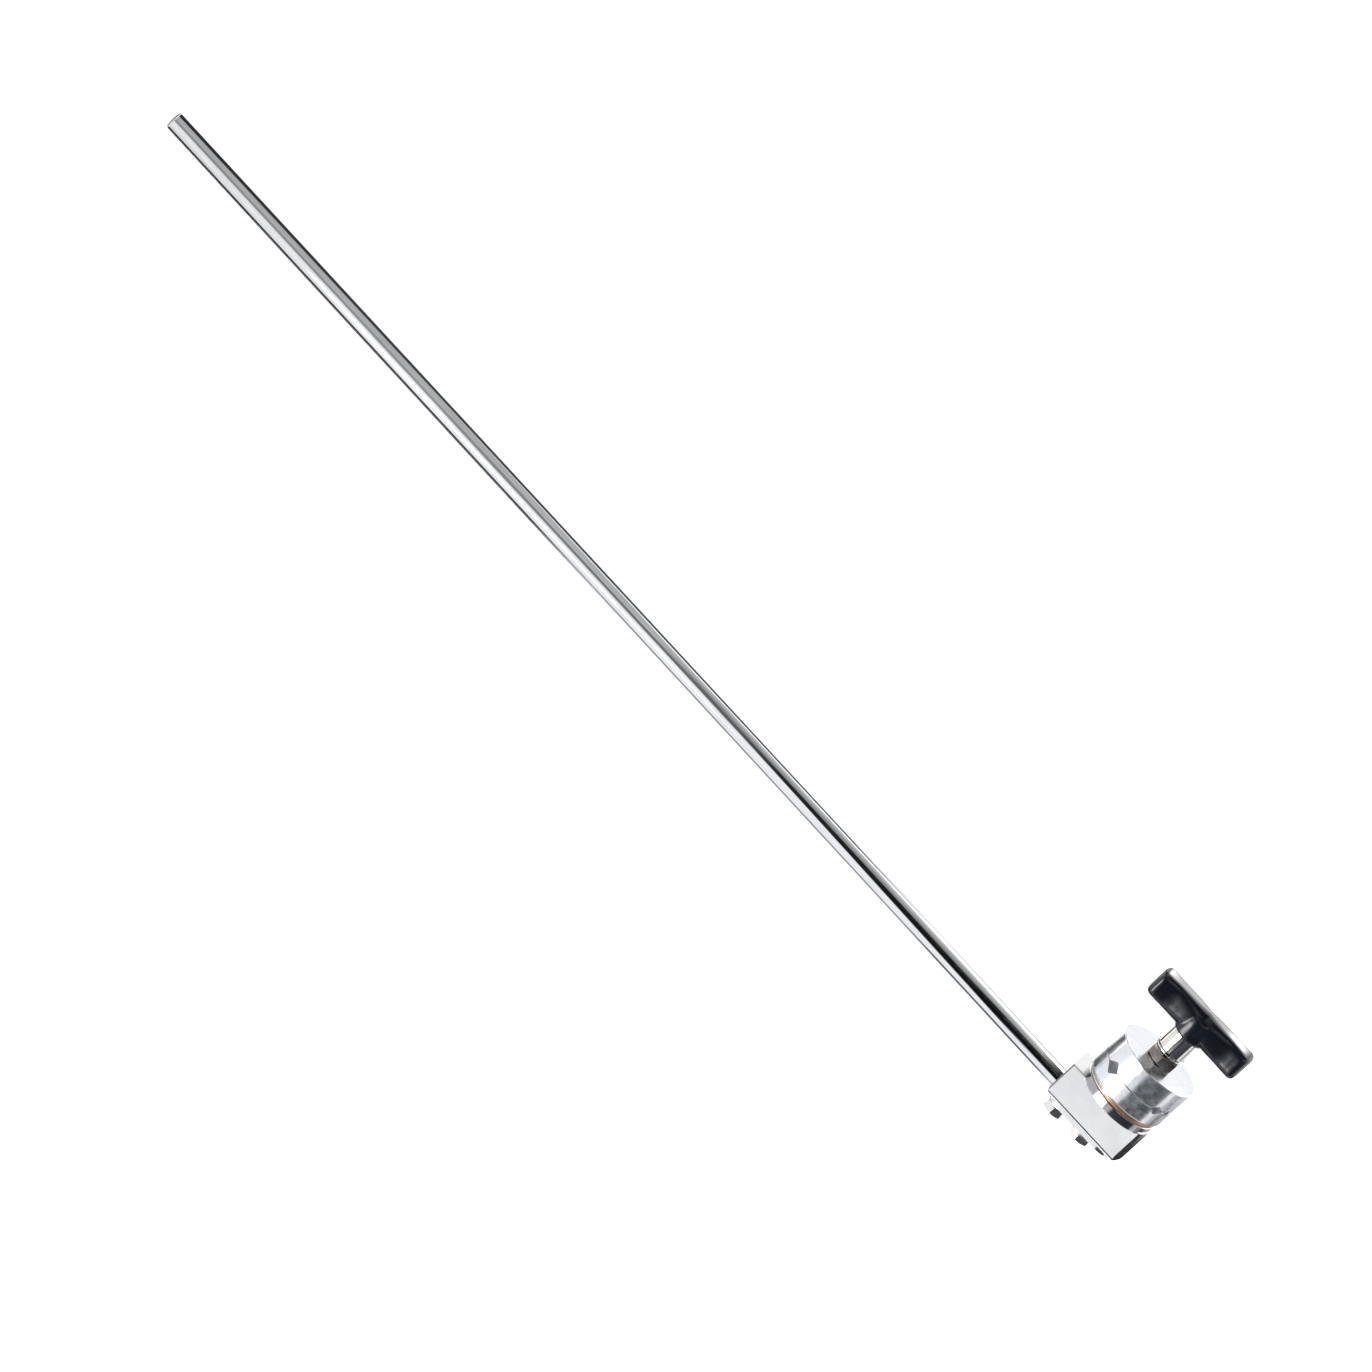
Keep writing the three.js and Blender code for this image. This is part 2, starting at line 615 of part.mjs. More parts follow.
const head = new THREE.Group();
head.position.x = spindleX;
head.add(piece('head_block', buildBlock(), CHROME));
head.add(piece('rod_bolt', buildRodBolt(), STEEL));
head.add(piece('rod_bolt_washer', buildRodBoltWasher(), STEEL));
head.add(piece('spindle', buildSpindle(), STEEL));
head.add(piece('spindle_nut', buildSpindleNut(), STEEL));
head.add(piece('spindle_washer',
  ring(SPINDLE_WASHER_DIAMETER / 2, spindleBore, washerBack, washerBack + WASHER_THICKNESS), STEEL));
head.add(piece('spindle_stop_ring', buildStopRing(), STEEL));
head.add(piece('friction_washer_back', buildFrictionDisc(frictionBackStart, FRICTION_THICKNESS), FIBRE));
head.add(piece('friction_plate', buildFrictionDisc(frictionPlateStart, FRICTION_PLATE_THICKNESS), STEEL));
head.add(piece('friction_washer_front', buildFrictionDisc(frictionFrontStart, FRICTION_THICKNESS), FIBRE));
head.add(piece('inner_jaw', buildInnerJaw(), CHROME));
head.add(piece('jaw_dowel_front', buildDowel(DOWEL_FRONT_ANGLE), STEEL));
head.add(piece('jaw_dowel_rear', buildDowel(DOWEL_REAR_ANGLE), STEEL));
head.add(piece('jaw_spring', buildSpring(), STEEL));
head.add(piece('outer_jaw', buildOuterJaw(), CHROME));
head.add(piece('bearing_race_lower', buildRace(lowerRaceStart), STEEL));
head.add(piece('bearing_rollers', buildRollerCage(), STEEL));
head.add(piece('bearing_race_upper', buildRace(upperRaceStart), STEEL));
head.add(piece('bearing_collar', buildCollar(), CHROME));
head.add(piece('handle_hub', buildHub(), CHROME));
head.add(piece('t_handle', buildHandle(), BLACK_PLASTIC));

const arm = new THREE.Group();
arm.add(rodGroup);
arm.add(head);

export default arm;
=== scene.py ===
"""Looks of a grip arm: a round chromed rod with a swivelling grip head and a black T-handle.

Every piece is turned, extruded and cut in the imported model's own frame. Sizes are in millimetres
until a mesh is drawn. +X runs along the rod to the head, +Y out along the spindle, +Z up.
"""

import logging
import math
from dataclasses import dataclass
from enum import Enum
from typing import Optional, Sequence

import bpy
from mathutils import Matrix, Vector


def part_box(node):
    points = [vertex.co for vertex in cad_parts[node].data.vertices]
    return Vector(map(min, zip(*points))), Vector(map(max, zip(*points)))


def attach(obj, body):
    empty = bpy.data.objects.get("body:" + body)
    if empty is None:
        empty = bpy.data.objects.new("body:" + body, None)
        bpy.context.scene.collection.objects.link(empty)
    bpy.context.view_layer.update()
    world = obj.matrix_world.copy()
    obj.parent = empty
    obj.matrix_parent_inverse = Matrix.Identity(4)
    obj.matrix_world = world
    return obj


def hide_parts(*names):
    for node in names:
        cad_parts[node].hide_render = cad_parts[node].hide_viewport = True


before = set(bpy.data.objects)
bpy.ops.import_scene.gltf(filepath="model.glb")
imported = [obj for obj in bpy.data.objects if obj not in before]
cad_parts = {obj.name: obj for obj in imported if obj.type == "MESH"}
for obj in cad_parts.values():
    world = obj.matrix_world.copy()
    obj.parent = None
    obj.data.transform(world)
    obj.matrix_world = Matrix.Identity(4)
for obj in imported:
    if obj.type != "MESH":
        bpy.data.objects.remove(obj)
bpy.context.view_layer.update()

MM = 0.001

# Sizes that several sub-assemblies share, in millimetres
SEAT_GAP = 0.3
BORE_GAP = 0.3
ROD_DIAMETER = 15.9
ROD_WALL = 2.5
SPINDLE_DIAMETER = 12.0
SPINDLE_PITCH = 1.75
HUB_DIAMETER = 24.0
RACE_DIAMETER = 17.8
FINE_EDGE = 0.2
BLOCK_REACH = 40.0
BLOCK_WIDTH = 34.0
FLANGE_THICKNESS = 5.5
JOIN_OVERLAP = 2.0
CUT_OVERRUN = 5.0

# Angles above which an edge stays sharp, or is rounded
SMOOTH_ANGLE = math.radians(32)
ROUND_ANGLE = math.radians(28)

# Shares of a hexagon's corner and width that its chamfers take
HEX_SLOPE = 0.62
HEX_FACE = 0.97

# A thread's depth in pitches, the steepness of its flanks and its rows for each turn
THREAD_DEPTH = 0.54
THREAD_FLANK = 1.25
THREAD_ROWS = 6

# Facets round a turned piece
LARGE_STEPS = 144
ROUND_STEPS = 96
SMALL_STEPS = 48

log = logging.getLogger("grip_arm")

Place = tuple[float, float, float]
Colour = tuple[float, float, float]
Corner = tuple[float, float, float]
Pair = tuple[float, float]


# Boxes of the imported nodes


@dataclass(frozen=True)
class Span:
    """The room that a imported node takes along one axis, in millimetres."""

    low: float
    high: float

    @property
    def middle(self) -> float:
        """The point halfway along."""
        return (self.low + self.high) / 2

    @property
    def length(self) -> float:
        """How long it is."""
        return self.high - self.low


def span(node: str, axis: int) -> Span:
    """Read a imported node's room along an axis.

    Args:
        node: the node's name.
        axis: 0, 1 or 2 for X, Y or Z.

    Returns:
        The lowest and highest place, in millimetres.
    """
    low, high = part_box(node)
    return Span(low[axis] / MM, high[axis] / MM)


SPINDLE_X = span("spindle", 0).middle


# Modelling tools


class Spin(Enum):
    """The axis that a turned piece goes round."""

    SPINDLE = "spindle"
    ROD = "rod"


class Joining(Enum):
    """What a boolean does with its tool."""

    CUT = "DIFFERENCE"
    JOIN = "UNION"
    KEEP = "INTERSECT"


def nothing_selected() -> None:
    """Deselect everything, in object mode."""
    if bpy.context.mode != "OBJECT":
        bpy.ops.object.mode_set(mode="OBJECT")
    bpy.ops.object.select_all(action="DESELECT")


def only(piece: bpy.types.Object) -> None:
    """Leave one object selected and active, in object mode.

    Args:
        piece: the object.
    """
    nothing_selected()
    piece.select_set(True)
    bpy.context.view_layer.objects.active = piece


def settle(piece: bpy.types.Object) -> bpy.types.Object:
    """Put a piece's place, turn and scale into its mesh, so that its object sits at the origin.

    Args:
        piece: the piece.

    Returns:
        The same piece.
    """
    only(piece)
    bpy.ops.object.transform_apply(location=True, rotation=True, scale=True)
    return piece


def applied(piece: bpy.types.Object, kind: str, **settings: object) -> bpy.types.Object:
    """Add a modifier to a piece and apply it.

    Args:
        piece: the piece.
        kind: Blender's name for the modifier.
        settings: the modifier's own values.

    Returns:
        The same piece.
    """
    only(piece)
    modifier = piece.modifiers.new(kind.lower(), kind)
    for key, value in settings.items():
        setattr(modifier, key, value)
    bpy.ops.object.modifier_apply(modifier=modifier.name)
    return piece


def merged(piece: bpy.types.Object, reach: float = 0.004) -> bpy.types.Object:
    """Merge points that lie on each other, and turn the faces outwards.

    Args:
        piece: the piece.
        reach: how near two points are to be merged, in millimetres.

    Returns:
        The same piece.
    """
    only(piece)
    bpy.ops.object.mode_set(mode="EDIT")
    bpy.ops.mesh.select_all(action="SELECT")
    bpy.ops.mesh.remove_doubles(threshold=reach * MM)
    bpy.ops.mesh.normals_make_consistent(inside=False)
    bpy.ops.object.mode_set(mode="OBJECT")
    return piece


def combined(piece: bpy.types.Object, tool: bpy.types.Object, how: Joining) -> bpy.types.Object:
    """Cut, join or intersect a piece with a tool, and delete the tool.

    Args:
        piece: the piece that is kept.
        tool: the other solid.
        how: what happens.

    Returns:
        The same piece.
    """
    applied(piece, "BOOLEAN", operation=how.value, object=tool, solver="EXACT")
    mesh = tool.data
    bpy.data.objects.remove(tool)
    bpy.data.meshes.remove(mesh)
    return piece


def smoothed(piece: bpy.types.Object, angle: float = SMOOTH_ANGLE) -> bpy.types.Object:
    """Shade a piece smooth below an angle, with its flat faces kept flat.

    Args:
        piece: the piece.
        angle: the sharpest edge that is smoothed, in radians.

    Returns:
        The same piece.
    """
    only(piece)
    bpy.ops.object.shade_smooth_by_angle(angle=angle)
    return applied(piece, "WEIGHTED_NORMAL", keep_sharp=True, weight=100)


def rounded(corners: Sequence[Corner], closed: bool, steps: int = 5) -> list[Pair]:
    """Turn corners with a rounding into a line with arcs.

    Args:
        corners: radius, level and rounding of each corner, in millimetres.
        closed: whether the line comes back to its start.
        steps: parts of each arc.

    Returns:
        The points of the line.
    """
    line: list[Pair] = []
    count = len(corners)
    most = 0.49
    for index, (radius, level, rounding) in enumerate(corners):
        here = Vector((radius, level))
        at_end = not closed and index in (0, count - 1)
        if rounding <= 0 or at_end:
            line.append((radius, level))
            continue
        before = Vector(corners[index - 1][:2]) - here
        after = Vector(corners[(index + 1) % count][:2]) - here
        half = before.angle(after) / 2
        back = min(rounding / math.tan(half), before.length * most, after.length * most)
        fitted = back * math.tan(half)
        middle = here + (before.normalized() + after.normalized()).normalized() * (fitted / math.sin(half))
        first = here + before.normalized() * back - middle
        last = here + after.normalized() * back - middle
        sweep = first.angle_signed(last)
        for step in range(steps + 1):
            turn = -sweep * step / steps
            cosine = math.cos(turn)
            sine = math.sin(turn)
            arm = Vector((first.x * cosine - first.y * sine, first.x * sine + first.y * cosine))
            line.append((middle.x + arm.x, middle.y + arm.y))
    return line


def turned(
    name: str,
    corners: Sequence[Corner],
    spin: Spin = Spin.SPINDLE,
    steps: int = ROUND_STEPS,
    closed: bool = False,
) -> bpy.types.Object:
    """Draw a profile point by point and spin it into a solid.

    Args:
        name: the piece's name.
        corners: radius, level and rounding of each corner, in millimetres. An open profile starts
            and ends on the axis, and a closed one makes a ring.
        spin: the axis that it goes round.
        steps: facets round it.
        closed: whether the profile closes on itself.

    Returns:
        The piece.
    """
    line = rounded(corners, closed)
    if closed:
        line.append(line[0])
    if spin is Spin.SPINDLE:
        path = [Vector((SPINDLE_X + radius, level, 0)) * MM for radius, level in line]
        centre = (SPINDLE_X * MM, 0, 0)
        axis = (0, 1, 0)
    else:
        path = [Vector((level, radius, 0)) * MM for radius, level in line]
        centre = (0, 0, 0)
        axis = (1, 0, 0)
    nothing_selected()
    bpy.ops.mesh.primitive_plane_add(size=MM, location=path[0])
    piece = bpy.context.object
    piece.name = name
    bpy.ops.object.mode_set(mode="EDIT")
    bpy.ops.mesh.select_mode(type="VERT")
    bpy.ops.mesh.select_all(action="SELECT")
    bpy.ops.mesh.merge(type="CENTER")
    for start, end in zip(path, path[1:]):
        bpy.ops.mesh.extrude_region_move(TRANSFORM_OT_translate={"value": end - start})
    bpy.ops.mesh.select_all(action="SELECT")
    bpy.ops.mesh.spin(steps=steps, angle=math.tau, center=centre, axis=axis)
    bpy.ops.object.mode_set(mode="OBJECT")
    settle(piece)
    return merged(piece)


def plain_disc(name: str, radius: float, low: float, high: float, edge: float = 0.0) -> bpy.types.Object:
    """Turn a disc about the spindle.

    Args:
        name: the piece's name.
        radius: its radius, in millimetres.
        low: its lowest level.
        high: its highest level.
        edge: rounding of its two edges.

    Returns:
        The piece.
    """
    corners = [(0, low, 0), (radius, low, edge), (radius, high, edge), (0, high, 0)]
    return turned(name, corners)


def plain_ring(
    name: str, outer: float, inner: float, low: float, high: float, edge: float, steps: int = ROUND_STEPS
) -> bpy.types.Object:
    """Turn a washer about the spindle.

    Args:
        name: the piece's name.
        outer: outer radius, in millimetres.
        inner: radius of its hole.
        low: its lowest level.
        high: its highest level.
        edge: rounding of its edges.
        steps: facets round it.

    Returns:
        The piece.
    """
    corners = [(inner, low, edge), (outer, low, edge), (outer, high, edge), (inner, high, edge)]
    return turned(name, corners, steps=steps, closed=True)


def shifted(piece: bpy.types.Object, move: Place) -> bpy.types.Object:
    """Move a piece's mesh.

    Args:
        piece: the piece.
        move: how far, in millimetres.

    Returns:
        The same piece.
    """
    piece.location = Vector(move) * MM
    return settle(piece)


def bar(name: str, centre: Place, size: Place, turn: Place = (0.0, 0.0, 0.0)) -> bpy.types.Object:
    """Add a rectangular bar.

    Args:
        name: its name.
        centre: its middle, in millimetres.
        size: its length along each axis, in millimetres.
        turn: its turn about each axis, in radians.

    Returns:
        The bar.
    """
    nothing_selected()
    bpy.ops.mesh.primitive_cube_add(size=1, location=Vector(centre) * MM, rotation=turn)
    piece = bpy.context.object
    piece.name = name
    piece.scale = Vector(size) * MM
    return settle(piece)


def hexagon(name: str, centre_x: float, across: float, low: float, high: float) -> bpy.types.Object:
    """Make a hexagonal prism about the spindle's direction, with chamfered corners.

    Args:
        name: its name.
        centre_x: place of its middle along the rod, in millimetres.
        across: its width across the flats.
        low: its lowest level.
        high: its highest level.

    Returns:
        The prism.
    """
    corner = across / math.sqrt(3)
    nothing_selected()
    bpy.ops.mesh.primitive_cylinder_add(
        vertices=6,
        radius=corner * MM,
        depth=(high - low) * MM,
        location=Vector((centre_x, (low + high) / 2, 0)) * MM,
        rotation=(math.radians(90), 0, 0),
    )
    piece = bpy.context.object
    piece.name = name
    settle(piece)
    slope = (corner - across / 2) * HEX_SLOPE
    face = across / 2 * HEX_FACE
    cone = turned(
        f"{name}_cone",
        [
            (0, low, 0),
            (face, low, 0),
            (corner + 0.1, low + slope, 0),
            (corner + 0.1, high - slope, 0),
            (face, high, 0),
            (0, high, 0),
        ],
    )
    shifted(cone, (centre_x - SPINDLE_X, 0, 0))
    return combined(piece, cone, Joining.KEEP)


def edge_rounded(
    piece: bpy.types.Object, width: float, segments: int = 3, angle: float = ROUND_ANGLE
) -> bpy.types.Object:
    """Round every edge that is sharper than an angle.

    Args:
        piece: the piece.
        width: how far the rounding reaches, in millimetres.
        segments: parts of each rounding.
        angle: the bluntest edge that is rounded, in radians.

    Returns:
        The same piece.
    """
    return applied(
        piece,
        "BEVEL",
        width=width * MM,
        segments=segments,
        limit_method="ANGLE",
        angle_limit=angle,
        use_clamp_overlap=True,
        miter_outer="MITER_ARC",
    )


def threaded(
    piece: bpy.types.Object, centre_x: float, crest: float, low: float, high: float, pitch: float
) -> None:
    """Press a helical thread into the side of a finely stepped round bar.

    Args:
        piece: the bar.
        centre_x: place of its axis along the rod, in millimetres.
        crest: its radius at the thread's crest.
        low: where the thread starts.
        high: where the thread ends.
        pitch: rise of one turn.
    """
    depth = THREAD_DEPTH * pitch
    reach = 0.05
    for vertex in piece.data.vertices:
        across = vertex.co.x / MM - centre_x
        level = vertex.co.y / MM
        radius = math.hypot(across, vertex.co.z / MM)
        if radius < crest - reach or not low < level < high:
            continue
        phase = level / pitch - math.atan2(vertex.co.z / MM, across) / math.tau
        wave = abs((phase % 1) * 2 - 1)
        run_out = min(1.0, (level - low) / pitch, (high - level) / pitch)
        share = 1 - depth * run_out * min(1.0, wave * THREAD_FLANK) / radius
        vertex.co.x = (centre_x + across * share) * MM
        vertex.co.z *= share


def thread_rows(radius: float, low: float, high: float, pitch: float) -> list[Corner]:
    """List the fine steps that a thread is pressed into.

    Args:
        radius: the bar's radius, in millimetres.
        low: where the thread starts.
        high: where it ends.
        pitch: rise of one turn.

    Returns:
        The corners along the side.
    """
    count = max(2, round((high - low) / (pitch / THREAD_ROWS)))
    return [(radius, low + (high - low) * step / count, 0) for step in range(count + 1)]


@dataclass(frozen=True)
class Finish:
    """A material and the record's slot that it stands for."""

    look: bpy.types.Material
    slot: str


def shown(
    piece: bpy.types.Object, finish: Finish, body: str, node: str, angle: float = SMOOTH_ANGLE
) -> None:
    """Smooth and dress a piece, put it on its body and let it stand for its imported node.

    Args:
        piece: the piece.
        finish: its finish.
        body: the body that it rides on.
        node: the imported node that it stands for.
        angle: the sharpest edge that is smoothed, in radians.
    """
    smoothed(piece, angle)
    piece.data.materials.clear()
    piece.data.materials.append(finish.look)
    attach(piece, body)
    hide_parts(node)
    log.info("%s: %d faces on %s", piece.name, len(piece.data.polygons), body)


# Finishes


class Graph:
    """A material whose nodes are added and joined by short calls."""

    def __init__(self, name: str) -> None:
        """Start a material with a Principled shader.

        Args:
            name: the material's name.
        """
        self.material = bpy.data.materials.new(name)
        self.material.use_nodes = True
        self.nodes = self.material.node_tree.nodes
        self.links = self.material.node_tree.links
        self.shader = self.nodes["Principled BSDF"]
        self.place = self.nodes.new("ShaderNodeTexCoord").outputs["Object"]

    def mapped(self, move: Place = (0, 0, 0), scale: Place = (1, 1, 1)) -> bpy.types.NodeSocket:
        """Centre and stretch the object's own coordinates.

        Args:
            move: how far the pattern is moved, in metres.
            scale: how much it is stretched along each axis.

        Returns:
            The coordinates.
        """
        node = self.nodes.new("ShaderNodeMapping")
        node.inputs["Location"].default_value = move
        node.inputs["Scale"].default_value = scale
        self.links.new(self.place, node.inputs["Vector"])
        return node.outputs["Vector"]

    def centred(self) -> bpy.types.NodeSocket:
        """Centre the object's own coordinates on the spindle."""
        return self.mapped(move=(-SPINDLE_X * MM, 0, 0))

    def noise(
        self, size: float, detail: float = 3.0, place: Optional[bpy.types.NodeSocket] = None
    ) -> bpy.types.NodeSocket:
        """Add a noise whose features have a real size.

        Args:
            size: their size, in millimetres.
            detail: octaves.
            place: coordinates to use in place of the plain ones.

        Returns:
            The noise, about 0.5.
        """
        node = self.nodes.new("ShaderNodeTexNoise")
        node.inputs["Scale"].default_value = 1 / (size * MM)
        node.inputs["Detail"].default_value = detail
        self.links.new(place or self.place, node.inputs["Vector"])
        return node.outputs["Fac"]

    def wave(self, size: float, bands: str, along: str, place: bpy.types.NodeSocket) -> bpy.types.NodeSocket:
        """Add fine lines or rings.

        Args:
            size: from one line to the next, in millimetres.
            bands: BANDS or RINGS.
            along: X, Y or Z.
            place: the coordinates.

        Returns:
            The wave, from 0 to 1.
        """
        node = self.nodes.new("ShaderNodeTexWave")
        node.wave_type = bands
        if bands == "RINGS":
            node.rings_direction = along
        else:
            node.bands_direction = along
        # At scale 1 the shader draws one line in tau / 20 of a metre
        node.inputs["Scale"].default_value = math.tau / (20 * size * MM)
        node.inputs["Distortion"].default_value = 0.6
        node.inputs["Detail"].default_value = 2
        self.links.new(place, node.inputs["Vector"])
        return node.outputs["Fac"]

    def spread(
        self, source: bpy.types.NodeSocket, low: float, high: float, start: float = 0.3, end: float = 0.7
    ) -> bpy.types.NodeSocket:
        """Map a pattern onto a range.

        Args:
            source: the pattern.
            low: value at its start.
            high: value at its end.
            start: where the pattern starts to count.
            end: where it stops.

        Returns:
            The value.
        """
        node = self.nodes.new("ShaderNodeMapRange")
        node.inputs["From Min"].default_value = start
        node.inputs["From Max"].default_value = end
        node.inputs["To Min"].default_value = low
        node.inputs["To Max"].default_value = high
        self.links.new(source, node.inputs["Value"])
        return node.outputs["Result"]

    def blend(self, share: bpy.types.NodeSocket, first: Colour, second: Colour) -> bpy.types.NodeSocket:
        """Mix two colours by a pattern.

        Args:
            share: the pattern, from 0 to 1.
            first: colour at 0.
            second: colour at 1.

        Returns:
            The colour.
        """
        node = self.nodes.new("ShaderNodeMix")
        node.data_type = "RGBA"
        node.inputs["A"].default_value = (*first, 1)
        node.inputs["B"].default_value = (*second, 1)
        self.links.new(share, node.inputs["Factor"])
        return node.outputs["Result"]

    def over(
        self, share: bpy.types.NodeSocket, under: bpy.types.NodeSocket, colour: Colour
    ) -> bpy.types.NodeSocket:
        """Lay a colour over another by a pattern.

        Args:
            share: the pattern, 1 where the colour covers.
            under: the colour under it.
            colour: the colour that is laid over.

        Returns:
            The mixed colour.
        """
        mixed = self.blend(share, colour, colour)
        self.links.new(under, mixed.node.inputs["A"])
        return mixed

    def combined(
        self, how: str, first: bpy.types.NodeSocket, second: Optional[bpy.types.NodeSocket] = None
    ) -> bpy.types.NodeSocket:
        """Do sums with one or two patterns.

        Args:
            how: Blender's name for the sum.
            first: the first pattern.
            second: the other one.

        Returns:
            The result.
        """
        node = self.nodes.new("ShaderNodeMath")
        node.operation = how
        self.links.new(first, node.inputs[0])
        if second is not None:
            self.links.new(second, node.inputs[1])
        return node.outputs["Value"]

    def product(self, first: bpy.types.NodeSocket, second: bpy.types.NodeSocket) -> bpy.types.NodeSocket:
        """Multiply two patterns."""
        return self.combined("MULTIPLY", first, second)

    def along(self, axis: str, source: Optional[bpy.types.NodeSocket] = None) -> bpy.types.NodeSocket:
        """Read one coordinate.

        Args:
            axis: X, Y or Z.
            source: the coordinates, or none for the object's own.

        Returns:
            The coordinate.
        """
        node = self.nodes.new("ShaderNodeSeparateXYZ")
        self.links.new(source or self.place, node.inputs["Vector"])
        return node.outputs[axis]

    def bump(
        self, height: bpy.types.NodeSocket, depth: float, before: Optional[bpy.types.NodeSocket] = None
    ) -> bpy.types.NodeSocket:
        """Raise the surface by a pattern.

        Args:
            height: the pattern.
            depth: its height, in millimetres.
            before: a bump that this one is laid over.

        Returns:
            The normal.
        """
        node = self.nodes.new("ShaderNodeBump")
        node.inputs["Distance"].default_value = depth * MM
        self.links.new(height, node.inputs["Height"])
        if before is not None:
            self.links.new(before, node.inputs["Normal"])
        return node.outputs["Normal"]

    def wire(self, socket: str, source: bpy.types.NodeSocket) -> None:
        """Join a pattern to one of the shader's sockets, by its name."""
        self.links.new(source, self.shader.inputs[socket])


@dataclass(frozen=True)
class PaintedEdgeReflections:
    """Painted reflections: thin dark lines along the edges of the block's two sides, painted in place of the
    dark reflections on its rounded chrome edges.

    Attributes:
        end: place of the block's rod end, in millimetres.
        front: level of its front.
        side: half its width.
        colour: colour of the painted dark reflection lines.
        end_line: where the line at the rod end fades, from the end inwards.
        front_line: the same from the front.
        side_line: the same from the sides.
        end_share: how dark the line at the rod end is.
        front_share: how dark the line at the front is.
    """

    end: float
    front: float
    side: float
    colour: Colour = (0.12, 0.12, 0.12)
    end_line: Pair = (0.9, 1.5)
    front_line: Pair = (1.3, 0.7)
    side_line: Pair = (0.9, 0.4)
    end_share: float = 0.85
    front_share: float = 0.6

    def over(self, graph: Graph, under: bpy.types.NodeSocket) -> bpy.types.NodeSocket:
        """Lay the painted reflection lines over a colour.

        Args:
            graph: the material that is being built.
            under: the colour.

        Returns:
            The colour with the lines.
        """
        # Painted reflections: masks for dark lines where the rounded edges would mirror dark surroundings
        ends = [(self.end + place) * MM for place in self.end_line]
        fronts = [(self.front - place) * MM for place in self.front_line]
        sides = [(self.side - place) * MM for place in self.side_line]
        at_end = graph.spread(graph.along("X"), self.end_share, 0, *ends)
        at_front = graph.spread(graph.along("Y"), 0, self.front_share, *fronts)
        on_side = graph.spread(graph.combined("ABSOLUTE", graph.along("Z")), 0, 1, *sides)
        share = graph.product(graph.combined("MAXIMUM", at_end, at_front), on_side)
        return graph.over(share, under, self.colour)


@dataclass(frozen=True)
class Chrome:
    """Bright chrome plating, wavier and duller the rougher the metal under it.

    Attributes:
        name: the material's name.
        clean: colour of the bright plating.
        dull: colour where it is handled.
        rough_low: roughness of the brightest places.
        rough_high: roughness of the dullest places.
        wave_size: size of the waves in the surface, in millimetres.
        wave_depth: their height.
        ring_size: distance between turning marks about the spindle, or 0 for none.
        ring_depth: their height.
        metal: share of plain metal. The rest is a milky film.
        edges: painted dark reflection lines along the block's edges, or none.
        patch_size: size of the handled patches.
        film_size: size of the patches of film.
        film_spread: how much more film they have.
        smear_size: size of the smears across the rod.
        smear_stretch: how much they are stretched along it.
    """

    name: str
    clean: Colour
    dull: Colour
    rough_low: float
    rough_high: float
    wave_size: float
    wave_depth: float
    ring_size: float = 0.0
    ring_depth: float = 0.0
    metal: float = 1.0
    edges: Optional[PaintedEdgeReflections] = None
    patch_size: float = 26.0
    film_size: float = 5.0
    film_spread: float = 0.06
    smear_size: float = 3.2
    smear_stretch: float = 0.35

    def material(self) -> bpy.types.Material:
        """Build the material."""
        graph = Graph(self.name)
        if self.metal < 1:
            film = graph.noise(self.film_size, 4)
            graph.wire("Metallic", graph.spread(film, self.metal - self.film_spread, 1.0))
        else:
            graph.shader.inputs["Metallic"].default_value = 1.0
        patches = graph.noise(self.patch_size, 4)
        colour = graph.blend(graph.spread(patches, 0, 1), self.clean, self.dull)
        if self.edges is not None:
            # Painted reflections: dark lines along the block's edges
            colour = self.edges.over(graph, colour)
        graph.wire("Base Color", colour)
        smears = graph.noise(self.smear_size, 5, graph.mapped(scale=(self.smear_stretch, 1, 1)))
        wear_and_painted_highlight = graph.product(graph.spread(patches, 0.3, 1), graph.spread(smears, 0.4, 1))
        graph.wire("Roughness", graph.spread(wear_and_painted_highlight, self.rough_low, self.rough_high, 0.1, 1))
        normal = graph.bump(graph.noise(self.wave_size, 2), self.wave_depth)
        if self.ring_size > 0:
            rings = graph.wave(self.ring_size, "RINGS", "Y", graph.centred())
            normal = graph.bump(rings, self.ring_depth, normal)
        graph.wire("Normal", normal)
        return graph.material


@dataclass(frozen=True)
class Steel:
    """Zinc-plated steel with a fine grain and darker, warmer stains.

    Attributes:
        name: the material's name.
        clean: colour of the clean metal.
        stained: colour of the stains.
        rough_low: roughness of the clean metal.
        rough_high: roughness of the stains.
        stain_size: size of the stains, in millimetres.
        grain_size: size of the grain.
        grain_stretch: how much it is stretched along the spindle.
        grain_depth: its height.
    """

    name: str
    clean: Colour
    stained: Colour
    rough_low: float
    rough_high: float
    stain_size: float = 7.0
    grain_size: float = 0.5
    grain_stretch: float = 0.25
    grain_depth: float = 0.012

    def material(self) -> bpy.types.Material:
        """Build the material."""
        graph = Graph(self.name)
        graph.shader.inputs["Metallic"].default_value = 1.0
        stains = graph.noise(self.stain_size, 5)
        graph.wire("Base Color", graph.blend(graph.spread(stains, 0, 1), self.clean, self.stained))
        grain = graph.noise(self.grain_size, 4, graph.mapped(scale=(1, self.grain_stretch, 1)))
        rough = graph.product(stains, grain)
        graph.wire("Roughness", graph.spread(rough, self.rough_low, self.rough_high, 0.1, 0.4))
        graph.wire("Normal", graph.bump(grain, self.grain_depth))
        return graph.material


